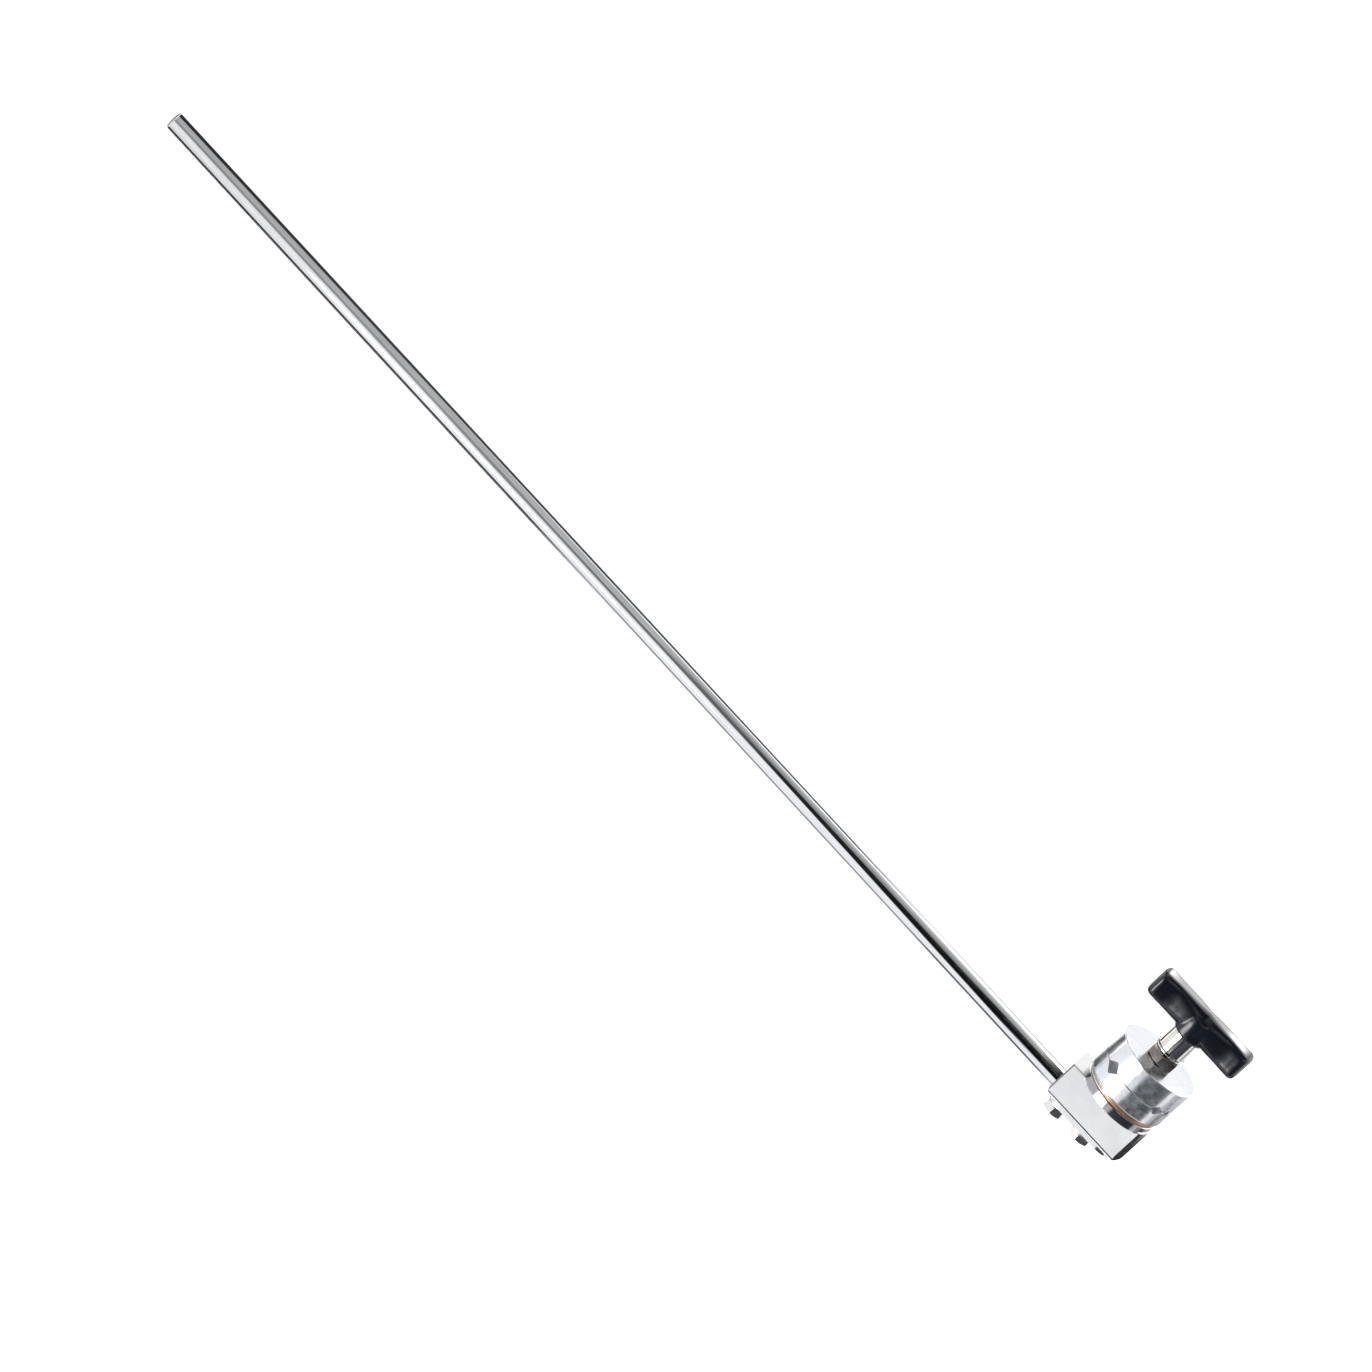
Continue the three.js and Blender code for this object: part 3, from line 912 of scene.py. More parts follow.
@dataclass(frozen=True)
class Copper:
    """Dull copper alloy with fine turning rings about the spindle, and a painted highlight that turns it
    pale towards the rod.

    Attributes:
        name: the material's name.
        bright: colour where it is rubbed.
        tarnished: colour elsewhere.
        painted_highlight: pale colour painted towards the rod, a painted highlight on the copper's rod side.
        rough_low: roughness of the rubbed places.
        rough_high: roughness elsewhere.
        metal: share of plain metal.
        patch_size: size of the rubbed patches, in millimetres.
        highlight_share: how much of the copper the painted highlight covers towards the rod.
        highlight_from: where the painted highlight is full, before the spindle.
        highlight_to: where the painted highlight ends.
        ring_size: distance between the rings.
        ring_depth: their height.
    """

    name: str
    bright: Colour
    tarnished: Colour
    painted_highlight: Colour
    rough_low: float = 0.32
    rough_high: float = 0.55
    metal: float = 0.85
    patch_size: float = 4.0
    highlight_share: float = 0.85
    highlight_from: float = 16.0
    highlight_to: float = 3.0
    ring_size: float = 0.6
    ring_depth: float = 0.02

    def material(self) -> bpy.types.Material:
        """Build the material."""
        graph = Graph(self.name)
        graph.shader.inputs["Metallic"].default_value = self.metal
        patches = graph.noise(self.patch_size, 5)
        copper = graph.blend(graph.spread(patches, 0, 1), self.bright, self.tarnished)
        # Painted highlight: the copper fades to a pale colour towards the rod
        places = [(SPINDLE_X - place) * MM for place in (self.highlight_from, self.highlight_to)]
        wear_and_painted_highlight = graph.spread(graph.along("X"), self.highlight_share, 0, *places)
        graph.wire("Base Color", graph.over(wear_and_painted_highlight, copper, self.painted_highlight))
        graph.wire("Roughness", graph.spread(patches, self.rough_low, self.rough_high))
        rings = graph.wave(self.ring_size, "RINGS", "Y", graph.centred())
        graph.wire("Normal", graph.bump(rings, self.ring_depth))
        return graph.material


@dataclass(frozen=True)
class BlackPlastic:
    """Satin black moulded plastic with a fine grain and rubbed places.

    Attributes:
        name: the material's name.
        deep: colour of the untouched plastic.
        rubbed: colour where hands have rubbed it.
        rough_low: roughness of the rubbed places.
        rough_high: roughness of the untouched plastic.
        ior: how strongly it mirrors.
        patch_size: size of the rubbed patches, in millimetres.
        swell_size: size of the swells that the mould leaves.
        swell_depth: their height.
        grain_size: size of the grain.
        grain_depth: its height.
    """

    name: str
    deep: Colour
    rubbed: Colour
    rough_low: float
    rough_high: float
    ior: float = 1.55
    patch_size: float = 18.0
    swell_size: float = 9.0
    swell_depth: float = 0.08
    grain_size: float = 0.45
    grain_depth: float = 0.018

    def material(self) -> bpy.types.Material:
        """Build the material."""
        graph = Graph(self.name)
        patches = graph.noise(self.patch_size, 4)
        graph.wire("Base Color", graph.blend(graph.spread(patches, 0, 1), self.deep, self.rubbed))
        graph.wire("Roughness", graph.spread(patches, self.rough_high, self.rough_low))
        graph.shader.inputs["IOR"].default_value = self.ior
        swells = graph.bump(graph.noise(self.swell_size, 2), self.swell_depth)
        graph.wire("Normal", graph.bump(graph.noise(self.grain_size, 3), self.grain_depth, swells))
        return graph.material


@dataclass(frozen=True)
class Finishes:
    """Every finish of the arm, made once."""

    rod: Finish
    block: Finish
    jaw: Finish
    hub: Finish
    collar: Finish
    steel: Finish
    plug: Finish
    copper: Finish
    plastic: Finish

    @classmethod
    def made(cls) -> "Finishes":
        """Make the finishes."""
        block_front = span("head_block", 1).high - FLANGE_THICKNESS
        # Painted reflections: dark lines along the block's edges, in place of reflections on its rounded
        # edges
        edges = PaintedEdgeReflections(SPINDLE_X - BLOCK_REACH, block_front, BLOCK_WIDTH / 2)
        rod = Chrome("rod_chrome", (0.86, 0.87, 0.88), (0.78, 0.79, 0.81), 0.05, 0.13, 30, 0.02)
        block = Chrome(
            "block_chrome", (0.86, 0.86, 0.86), (0.77, 0.77, 0.78), 0.09, 0.2, 9, 0.03, edges=edges
        )
        jaw = Chrome(
            "jaw_chrome", (0.85, 0.86, 0.88), (0.74, 0.76, 0.8), 0.12, 0.28, 6, 0.05, 0.5, 0.003, 0.94
        )
        hub = Chrome("hub_chrome", (0.84, 0.82, 0.79), (0.72, 0.69, 0.65), 0.06, 0.14, 14, 0.02)
        collar = Chrome(
            "collar_chrome", (0.66, 0.62, 0.58), (0.1, 0.08, 0.07), 0.08, 0.22, 5, 0.06, patch_size=9
        )
        steel = Steel("zinc_steel", (0.72, 0.72, 0.71), (0.5, 0.47, 0.45), 0.18, 0.36)
        plug = Steel("plug_steel", (0.44, 0.41, 0.39), (0.3, 0.27, 0.25), 0.35, 0.5)
        # The copper's last colour is a painted highlight towards the rod
        copper = Copper("friction_copper", (0.68, 0.34, 0.17), (0.42, 0.2, 0.1), (0.8, 0.76, 0.73))
        plastic = BlackPlastic("handle_plastic", (0.0026, 0.003, 0.006), (0.005, 0.006, 0.011), 0.15, 0.24)
        return cls(
            rod=Finish(rod.material(), "rod_chrome"),
            block=Finish(block.material(), "block_chrome"),
            jaw=Finish(jaw.material(), "jaw_chrome"),
            hub=Finish(hub.material(), "hub_chrome"),
            collar=Finish(collar.material(), "hub_chrome"),
            steel=Finish(steel.material(), "fastener_steel"),
            plug=Finish(plug.material(), "fastener_steel"),
            copper=Finish(copper.material(), "friction_copper"),
            plastic=Finish(plastic.material(), "handle_black"),
        )


# Sub-assemblies


@dataclass
class Rod:
    """The long tube and the plug in its free tip.

    Attributes:
        finishes: the arm's finishes.
        edge: rounding of the tube's outer edges, in millimetres.
        bolt_hole: diameter of the cross hole for the bolt.
        face_share: share of the plug's rim that its flat face takes.
        face_drop: how far the edge of that face lies behind its middle.
        face_round: rounding there.
        shoulder_inset: how much smaller the plug's shoulder is than its rim.
        shoulder_drop: how far the shoulder lies behind the face's middle.
        shoulder_round: rounding there.
        stem_round: rounding of the plug's inner end.
    """

    finishes: Finishes
    edge: float = 0.9
    bolt_hole: float = 8.6
    face_share: float = 0.55
    face_drop: float = 0.15
    face_round: float = 1.5
    shoulder_inset: float = 0.3
    shoulder_drop: float = 0.85
    shoulder_round: float = 0.7
    stem_round: float = 0.6

    def build(self) -> None:
        """Make the tube and its plug."""
        self.tube()
        self.plug()

    def tube(self) -> None:
        """Turn the tube about the rod's axis and drill it for the bolt."""
        along = span("arm_rod", 0)
        outer = ROD_DIAMETER / 2
        inner = outer - ROD_WALL
        corners = [
            (inner, along.low, FINE_EDGE),
            (outer, along.low, self.edge),
            (outer, along.high, self.edge),
            (inner, along.high, FINE_EDGE),
        ]
        tube = turned("rod_tube", corners, Spin.ROD, ROUND_STEPS, closed=True)
        bolt_x = span("rod_bolt", 0).middle
        drill = plain_disc("rod_drill", self.bolt_hole / 2, -ROD_DIAMETER, ROD_DIAMETER)
        shifted(drill, (bolt_x - SPINDLE_X, 0, 0))
        combined(tube, drill, Joining.CUT)
        shown(tube, self.finishes.rod, "arm", "arm_rod")

    def plug(self) -> None:
        """Turn the plug, whose rim covers the tube's end."""
        along = span("rod_end_plug", 0)
        rim = span("rod_end_plug", 2).length / 2
        stem = ROD_DIAMETER / 2 - ROD_WALL - BORE_GAP
        corners = [
            (0, along.low, 0),
            (rim * self.face_share, along.low + self.face_drop, self.face_round),
            (rim - self.shoulder_inset, along.low + self.shoulder_drop, self.shoulder_round),
            (rim, -SEAT_GAP, FINE_EDGE),
            (stem, -SEAT_GAP, FINE_EDGE),
            (stem, along.high, self.stem_round),
            (0, along.high, 0),
        ]
        plug = turned("rod_plug", corners, Spin.ROD, ROUND_STEPS)
        shown(plug, self.finishes.plug, "arm", "rod_end_plug")


@dataclass
class HeadBlock:
    """The cast block, its flange and land, and the fasteners behind it.

    Attributes:
        finishes: the arm's finishes.
        back_round: rounding of the two long back edges, in millimetres.
        rim_round: rounding of the round end's back edge.
        edge: rounding of every other edge.
        sharpest: the bluntest edge that gets that rounding, in radians.
        end_inset: how much smaller the round end is than the jaws.
        end_overrun: how far the tool that cuts the round end stands off the back.
        flange_inset: how much smaller the flange is than the jaws.
        flange_edge: rounding of the flange's edge.
        land_height: how far the land stands out of the back.
        land_width: the land's width.
        land_lead: from the land's rod end to the bolt's washer.
        land_end_inset: from the land's end to the block's round end.
        land_edge: rounding of the land's edges.
        socket_depth: how deep the rod goes in.
        socket_lead: chamfer of the socket's mouth.
        socket_point: length of the cone that the drill leaves.
        bolt_diameter: diameter of the rod bolt.
        bolt_pitch: rise of one turn of its thread.
        bolt_plain: length of its shank without a thread.
        bolt_tip: chamfer of its tip.
        bolt_head: its head's width across the flats.
        bolt_head_height: its head's height.
        nut_across: width of the spindle's nut across its flats.
        nut_lead: chamfer of the nut's hole.
        hex_edge: rounding of the edges of the bolt's head and the nut.
        washer_edge: rounding of the washers' edges.
    """

    finishes: Finishes
    back_round: float = 8.0
    rim_round: float = 5.5
    edge: float = 1.2
    sharpest: float = math.radians(40)
    end_inset: float = 0.4
    end_overrun: float = 0.05
    flange_inset: float = 1.5
    flange_edge: float = 0.9
    land_height: float = 1.8
    land_width: float = 26.0
    land_lead: float = 1.2
    land_end_inset: float = 6.0
    land_edge: float = 0.35
    socket_depth: float = 30.0
    socket_lead: float = 0.9
    socket_point: float = 2.5
    bolt_diameter: float = 8.0
    bolt_pitch: float = 1.25
    bolt_plain: float = 6.0
    bolt_tip: float = 0.6
    bolt_head: float = 15.0
    bolt_head_height: float = 7.0
    nut_across: float = 18.0
    nut_lead: float = 0.7
    hex_edge: float = 0.25
    washer_edge: float = 0.35

    def build(self) -> None:
        """Make the block and the fasteners behind it."""
        self.block()
        self.rod_bolt()
        self.washer("bolt_washer", "rod_bolt_washer", self.bolt_diameter / 2 + BORE_GAP)
        self.washer("back_washer", "spindle_washer", SPINDLE_DIAMETER / 2 + BORE_GAP)
        self.spindle_nut()

    def block(self) -> None:
        """Extrude the plan, round it, join flange and land, and bore it."""
        levels = span("head_block", 1)
        front = levels.high - FLANGE_THICKNESS
        back = levels.low + self.land_height
        jaw_radius = span("outer_jaw", 2).length / 2
        end_radius = jaw_radius - self.end_inset
        body = self.plan_body(end_radius, back, front)
        merged(body, 0.05)
        edge_rounded(body, self.edge, 4, self.sharpest)
        combined(body, self.land(end_radius, back, levels.low), Joining.JOIN)
        flange_radius = jaw_radius - self.flange_inset
        flange = plain_disc("flange", flange_radius, front - JOIN_OVERLAP, levels.high, self.flange_edge)
        combined(body, flange, Joining.JOIN)
        self.bore(body, levels)
        merged(body)
        shown(body, self.finishes.block, "arm", "head_block")

    def plan_body(self, end_radius: float, back: float, front: float) -> bpy.types.Object:
        """Make the block's plain body, flat at the rod's end and round at the other.

        Args:
            end_radius: radius of the round end about the spindle.
            back: level of its back.
            front: level of its front.

        Returns:
            The body.
        """
        low_x = SPINDLE_X - BLOCK_REACH
        high_x = SPINDLE_X + end_radius + 1
        middle_y = (back + front) / 2
        thickness = front - back
        body = bar(
            "block_body", ((low_x + high_x) / 2, middle_y, 0), (high_x - low_x, thickness, BLOCK_WIDTH)
        )
        self.round_back(body, back)
        cut_back = back - self.end_overrun
        keep = turned(
            "round_end",
            [
                (0, cut_back, 0),
                (end_radius, cut_back, self.rim_round),
                (end_radius, front + 1, 0),
                (0, front + 1, 0),
            ],
            steps=LARGE_STEPS,
        )
        size = (BLOCK_REACH * 2 + 2, thickness + 2, BLOCK_WIDTH * 2)
        combined(keep, bar("square_end", (low_x - 1, middle_y, 0), size), Joining.JOIN)
        return merged(combined(body, keep, Joining.KEEP))

    def round_back(self, body: bpy.types.Object, back: float) -> None:
        """Bevel the two long edges of the back.

        Args:
            body: the block's body.
            back: level of its back.
        """
        near = 0.01
        only(body)
        mesh = body.data
        for part in (mesh.polygons, mesh.edges, mesh.vertices):
            part.foreach_set("select", [False] * len(part))
        for edge in mesh.edges:
            ends = [mesh.vertices[index].co / MM for index in edge.vertices]
            on_back = all(abs(end.y - back) < near for end in ends)
            on_side = all(abs(abs(end.z) - BLOCK_WIDTH / 2) < near for end in ends)
            if on_back and on_side and ends[0].z * ends[1].z > 0:
                edge.select = True
        bpy.ops.object.mode_set(mode="EDIT")
        bpy.ops.mesh.select_mode(type="EDGE")
        bpy.ops.mesh.bevel(offset=self.back_round * MM, segments=8, affect="EDGES")
        bpy.ops.object.mode_set(mode="OBJECT")

    def land(self, end_radius: float, back: float, lowest: float) -> bpy.types.Object:
        """Make the raised land that the washers sit on.

        Args:
            end_radius: radius of the block's round end.
            back: level of the block's back.
            lowest: level of the land's face.

        Returns:
            The land.
        """
        half = self.land_width / 2
        low_x = span("rod_bolt_washer", 0).low - self.land_lead
        high_x = SPINDLE_X + end_radius - self.land_end_inset
        top = back + JOIN_OVERLAP
        middle = bar(
            "land",
            ((low_x + high_x) / 2, (lowest + top) / 2, 0),
            (high_x - low_x - self.land_width, top - lowest, self.land_width),
        )
        for centre_x in (low_x + half, high_x - half):
            end = plain_disc("land_end", half, lowest, top)
            shifted(end, (centre_x - SPINDLE_X, 0, 0))
            combined(middle, end, Joining.JOIN)
        merged(middle, 0.01)
        return edge_rounded(middle, self.land_edge, 3)

    def bore(self, body: bpy.types.Object, levels: Span) -> None:
        """Bore the block for the rod, the spindle and the bolt.

        Args:
            body: the block.
            levels: its lowest and highest level.
        """
        mouth = SPINDLE_X - BLOCK_REACH
        radius = ROD_DIAMETER / 2 + BORE_GAP
        socket = turned(
            "rod_socket",
            [
                (0, mouth - CUT_OVERRUN, 0),
                (radius + CUT_OVERRUN + self.socket_lead, mouth - CUT_OVERRUN, 0),
                (radius, mouth + self.socket_lead, 0),
                (radius, mouth + self.socket_depth, 0),
                (0, mouth + self.socket_depth + self.socket_point, 0),
            ],
            Spin.ROD,
        )
        combined(body, socket, Joining.CUT)
        low = levels.low - CUT_OVERRUN
        hole = plain_disc("spindle_hole", SPINDLE_DIAMETER / 2 + BORE_GAP, low, levels.high + CUT_OVERRUN)
        combined(body, hole, Joining.CUT)
        bolt_radius = self.bolt_diameter / 2 + BORE_GAP
        hole = plain_disc("bolt_hole", bolt_radius, low, span("rod_bolt", 1).high + SEAT_GAP)
        shifted(hole, (span("rod_bolt", 0).middle - SPINDLE_X, 0, 0))
        combined(body, hole, Joining.CUT)

    def rod_bolt(self) -> None:
        """Make the hex bolt that holds the rod."""
        levels = span("rod_bolt", 1)
        centre_x = span("rod_bolt", 0).middle
        seat = levels.low + self.bolt_head_height
        head = hexagon("rod_hex_bolt", centre_x, self.bolt_head, levels.low, seat)
        edge_rounded(head, self.hex_edge, 2)
        radius = self.bolt_diameter / 2
        start = seat + self.bolt_plain
        shank = turned(
            "bolt_shank",
            [(0, seat - JOIN_OVERLAP, 0), (radius, seat - JOIN_OVERLAP, 0)]
            + thread_rows(radius, start, levels.high - self.bolt_tip, self.bolt_pitch)
            + [(radius - self.bolt_tip, levels.high, 0), (0, levels.high, 0)],
            steps=SMALL_STEPS,
        )
        shifted(shank, (centre_x - SPINDLE_X, 0, 0))
        threaded(shank, centre_x, radius, start, levels.high - self.bolt_tip / 2, self.bolt_pitch)
        combined(head, shank, Joining.JOIN)
        shown(head, self.finishes.steel, "arm", "rod_bolt")

    def washer(self, name: str, node: str, hole: float) -> None:
        """Make a washer behind the block.

        Args:
            name: the piece's name.
            node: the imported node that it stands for.
            hole: radius of its hole.
        """
        levels = span(node, 1)
        across = span(node, 0)
        washer = plain_ring(name, across.length / 2, hole, levels.low, levels.high, self.washer_edge)
        shifted(washer, (across.middle - SPINDLE_X, 0, 0))
        shown(washer, self.finishes.steel, "arm", node)

    def spindle_nut(self) -> None:
        """Make the nut on the spindle's back end."""
        levels = span("spindle_nut", 1)
        nut = hexagon("back_nut", SPINDLE_X, self.nut_across, levels.low, levels.high)
        edge_rounded(nut, self.hex_edge, 2)
        hole = SPINDLE_DIAMETER / 2 + BORE_GAP
        drill = turned(
            "nut_drill",
            [
                (0, levels.low - 1, 0),
                (hole + self.nut_lead + 1, levels.low - 1, 0),
                (hole, levels.low + self.nut_lead, 0),
                (hole, levels.high - self.nut_lead, 0),
                (hole + self.nut_lead + 1, levels.high + 1, 0),
                (0, levels.high + 1, 0),
            ],
        )
        combined(nut, drill, Joining.CUT)
        shown(nut, self.finishes.steel, "arm", "spindle_nut")


@dataclass
class Spindle:
    """The threaded spindle and the ring near its tip.

    Attributes:
        finishes: the arm's finishes.
        groove_depth: depth of the groove that the ring sits in, in millimetres.
        tip: chamfer of both ends.
        back_thread: length of the thread for the back nut.
        front_thread: length of the thread for the handle.
        ring_opening: width of the opening in the stop ring.
    """

    finishes: Finishes
    groove_depth: float = 1.0
    tip: float = 0.8
    back_thread: float = 12.0
    front_thread: float = 58.0
    ring_opening: float = 2.2

    def build(self) -> None:
        """Make the spindle and its stop ring."""
        levels = span("spindle", 1)
        ring = span("spindle_stop_ring", 1)
        radius = SPINDLE_DIAMETER / 2
        neck = radius - self.groove_depth
        groove_low = ring.low - SEAT_GAP
        groove_high = ring.high + SEAT_GAP
        back_end = levels.low + self.back_thread
        front_start = groove_low - self.front_thread
        corners = (
            [(0, levels.low, 0), (radius - self.tip, levels.low, 0)]
            + thread_rows(radius, levels.low + self.tip, back_end, SPINDLE_PITCH)
            + thread_rows(radius, front_start, groove_low, SPINDLE_PITCH)
            + [
                (neck, groove_low, 0),
                (neck, groove_high, 0),
                (radius, groove_high, 0),
                (radius, levels.high - self.tip, 0),
                (radius - self.tip, levels.high, 0),
                (0, levels.high, 0),
            ]
        )
        spindle = turned("threaded_spindle", corners, steps=SMALL_STEPS)
        threaded(spindle, SPINDLE_X, radius, levels.low + self.tip / 2, back_end, SPINDLE_PITCH)
        threaded(spindle, SPINDLE_X, radius, front_start, groove_low - 1, SPINDLE_PITCH)
        shown(spindle, self.finishes.steel, "arm", "spindle")
        outer = span("spindle_stop_ring", 0).length / 2
        stop = plain_ring("stop_ring", outer, neck + BORE_GAP, ring.low, ring.high, FINE_EDGE)
        size = (outer * 1.4, ring.length * 2, self.ring_opening)
        slot = bar("ring_slot", (SPINDLE_X + outer, ring.middle, 0), size)
        combined(stop, slot, Joining.CUT)
        shown(stop, self.finishes.steel, "arm", "spindle_stop_ring")


@dataclass
class FrictionStack:
    """The two copper-coloured washers and the steel plate between them.

    Attributes:
        finishes: the arm's finishes.
        edge: rounding of their edges, in millimetres.
    """

    finishes: Finishes
    edge: float = 0.22

    def build(self) -> None:
        """Make the three discs."""
        self.disc("copper_washer_back", "friction_washer_back", self.finishes.copper, "arm")
        self.disc("steel_plate", "friction_plate", self.finishes.steel, "arm")
        self.disc("copper_washer_front", "friction_washer_front", self.finishes.copper, "inner_jaw_set")

    def disc(self, name: str, node: str, finish: Finish, body: str) -> None:
        """Turn one disc.

        Args:
            name: the piece's name.
            node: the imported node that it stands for.
            finish: its finish.
            body: the body that it rides on.
        """
        levels = span(node, 1)
        outer = span(node, 0).length / 2
        hole = SPINDLE_DIAMETER / 2 + BORE_GAP
        piece = plain_ring(name, outer, hole, levels.low, levels.high, self.edge, LARGE_STEPS)
        shown(piece, finish, body, node)


@dataclass(frozen=True)
class Groove:
    """A V-groove across both jaws.

    Attributes:
        half: half its width at the jaws' face, in millimetres.
        offset: its place beside the spindle.
        along_rod: whether it runs along the rod's direction or across it.
    """

    half: float
    offset: float
    along_rod: bool


@dataclass
class Jaws:
    """The two grooved jaws, the dowels between them and the spring.

    Attributes:
        finishes: the arm's finishes.
        grooves: the rod grooves.
        chamfer: rounding of the jaws' far edges, in millimetres.
        parting_edge: rounding of the edges where the jaws meet.
        groove_edge: rounding of the grooves' edges.
        groove_sharpest: the bluntest edge that gets that rounding, in radians.
        hole_edge: rounding of the edges of the hole and of the pocket.
        floor_edge: rounding at the pocket's floor.
        pocket_radius: radius of the spring's pocket.
        pocket_depth: its depth in each jaw.
        dowel_diameter: diameter of the dowels.
        dowel_ring: their distance from the spindle.
        dowel_angles: where they stand, in degrees.
        dowel_lead: rounding of the dowels' two ends.
        wire: thickness of the spring's wire.
        curls: how many turns the spring has.
        spring_gap: room between the spring and the spindle.
    """

    finishes: Finishes
    grooves: tuple[Groove, ...] = (
        Groove(5.8, -19.2, False),
        Groove(4.2, 24.4, False),
        Groove(6.35, -16.0, True),
        Groove(3.2, 12.5, True),
    )
    chamfer: float = 0.9
    parting_edge: float = 0.4
    groove_edge: float = 0.3
    groove_sharpest: float = math.radians(34)
    hole_edge: float = 0.4
    floor_edge: float = 0.3
    pocket_radius: float = 8.6
    pocket_depth: float = 7.0
    dowel_diameter: float = 4.0
    dowel_ring: float = 26.5
    dowel_angles: tuple[float, float] = (10.0, 172.0)
    dowel_lead: Pair = (0.4, 0.8)
    wire: float = 1.4
    curls: int = 4
    spring_gap: float = 0.6

    def build(self) -> None:
        """Make the jaws, dowels and spring."""
        inner = span("inner_jaw", 1)
        outer = span("outer_jaw", 1)
        parting = (inner.high + outer.low) / 2
        self.jaw("inner_grooved_jaw", "inner_jaw", "inner_jaw_set", inner, parting)
        self.jaw("outer_grooved_jaw", "outer_jaw", "outer_jaw_set", outer, parting)
        for angle, node in zip(self.dowel_angles, ("jaw_dowel_front", "jaw_dowel_rear")):
            self.dowel(node, angle)
        self.spring(inner, outer)

    def jaw(self, name: str, node: str, body: str, levels: Span, parting: float) -> None:
        """Turn a jaw with its pocket, then cut the grooves and dowel holes.

        Args:
            name: the piece's name.
            node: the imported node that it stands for.
            body: the body that it rides on.
            levels: its lowest and highest level.
            parting: the level where the jaws meet.
        """
        outer = span(node, 2).length / 2
        hole = SPINDLE_DIAMETER / 2 + BORE_GAP
        is_inner = levels.middle < parting
        face = levels.high if is_inner else levels.low
        floor = face - self.pocket_depth if is_inner else face + self.pocket_depth
        far = levels.low if is_inner else levels.high
        corners = [
            (hole, far, self.hole_edge),
            (outer, far, self.chamfer),
            (outer, face, self.parting_edge),
            (self.pocket_radius, face, self.hole_edge),
            (self.pocket_radius, floor, self.floor_edge),
            (hole, floor, self.floor_edge),
        ]
        jaw = turned(name, corners, steps=LARGE_STEPS, closed=True)
        for groove in self.grooves:
            combined(jaw, self.cutter(groove, outer, parting), Joining.CUT)
        dowel = span("jaw_dowel_front", 1)
        low = dowel.low - SEAT_GAP if is_inner else face - JOIN_OVERLAP
        high = face + JOIN_OVERLAP if is_inner else dowel.high + SEAT_GAP
        for angle in self.dowel_angles:
            drill = plain_disc("dowel_drill", self.dowel_diameter / 2 + BORE_GAP, low, high)
            combined(jaw, shifted(drill, self.dowel_place(angle)), Joining.CUT)
        merged(jaw, 0.03)
        edge_rounded(jaw, self.groove_edge, 3, self.groove_sharpest)
        shown(jaw, self.finishes.jaw, body, node)

    def cutter(self, groove: Groove, outer: float, parting: float) -> bpy.types.Object:
        """Make the square bar, standing on its edge, that cuts a groove.

        Args:
            groove: the groove.
            outer: the jaws' radius, in millimetres.
            parting: the level where the jaws meet.

        Returns:
            The bar.
        """
        side = groove.half * math.sqrt(2)
        length = (outer + JOIN_OVERLAP) * 2
        turn = math.radians(45)
        if groove.along_rod:
            return bar("groove", (SPINDLE_X, parting, groove.offset), (length, side, side), (turn, 0, 0))
        return bar("groove", (SPINDLE_X + groove.offset, parting, 0), (side, side, length), (0, 0, turn))

    def dowel_place(self, angle: float) -> Place:
        """Find a dowel's place beside the spindle.

        Args:
            angle: its angle, in degrees, from +Z towards +X.

        Returns:
            The move from the spindle.
        """
        turn = math.radians(angle)
        return (math.sin(turn) * self.dowel_ring, 0.0, math.cos(turn) * self.dowel_ring)

    def dowel(self, node: str, angle: float) -> None:
        """Turn a dowel.

        Args:
            node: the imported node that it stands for.
            angle: where it stands, in degrees.
        """
        levels = span(node, 1)
        radius = self.dowel_diameter / 2
        low_lead, high_lead = self.dowel_lead
        corners = [
            (0, levels.low, 0),
            (radius, levels.low, low_lead),
            (radius, levels.high, high_lead),
            (0, levels.high, 0),
        ]
        pin = turned(f"{node}_pin", corners, steps=SMALL_STEPS)
        shifted(pin, self.dowel_place(angle))
        shown(pin, self.finishes.steel, "inner_jaw_set", node)

    def spring(self, inner: Span, outer: Span) -> None:
        """Wind the spring with a screw of a round wire.

        Args:
            inner: the inner jaw's levels.
            outer: the outer jaw's levels.
        """
        low = inner.high - self.pocket_depth + SEAT_GAP + self.wire / 2
        high = outer.low + self.pocket_depth - SEAT_GAP - self.wire / 2
        radius = SPINDLE_DIAMETER / 2 + self.spring_gap + self.wire / 2
        nothing_selected()
        bpy.ops.mesh.primitive_circle_add(
            vertices=12, radius=self.wire / 2 * MM, location=(radius * MM, low * MM, 0)
        )
        spring = bpy.context.object
        spring.name = "wound_spring"
        settle(spring)
        applied(
            spring,
            "SCREW",
            axis="Y",
            steps=40,
            render_steps=40,
            screw_offset=(high - low) / self.curls * MM,
            iterations=self.curls,
            use_merge_vertices=False,
        )
        only(spring)
        bpy.ops.object.mode_set(mode="EDIT")
        bpy.ops.mesh.select_all(action="SELECT")
        bpy.ops.mesh.fill_holes(sides=12)
        bpy.ops.object.mode_set(mode="OBJECT")
        shifted(spring, (SPINDLE_X, 0, 0))
        merged(spring)
        shown(spring, self.finishes.steel, "inner_jaw_set", "jaw_spring")


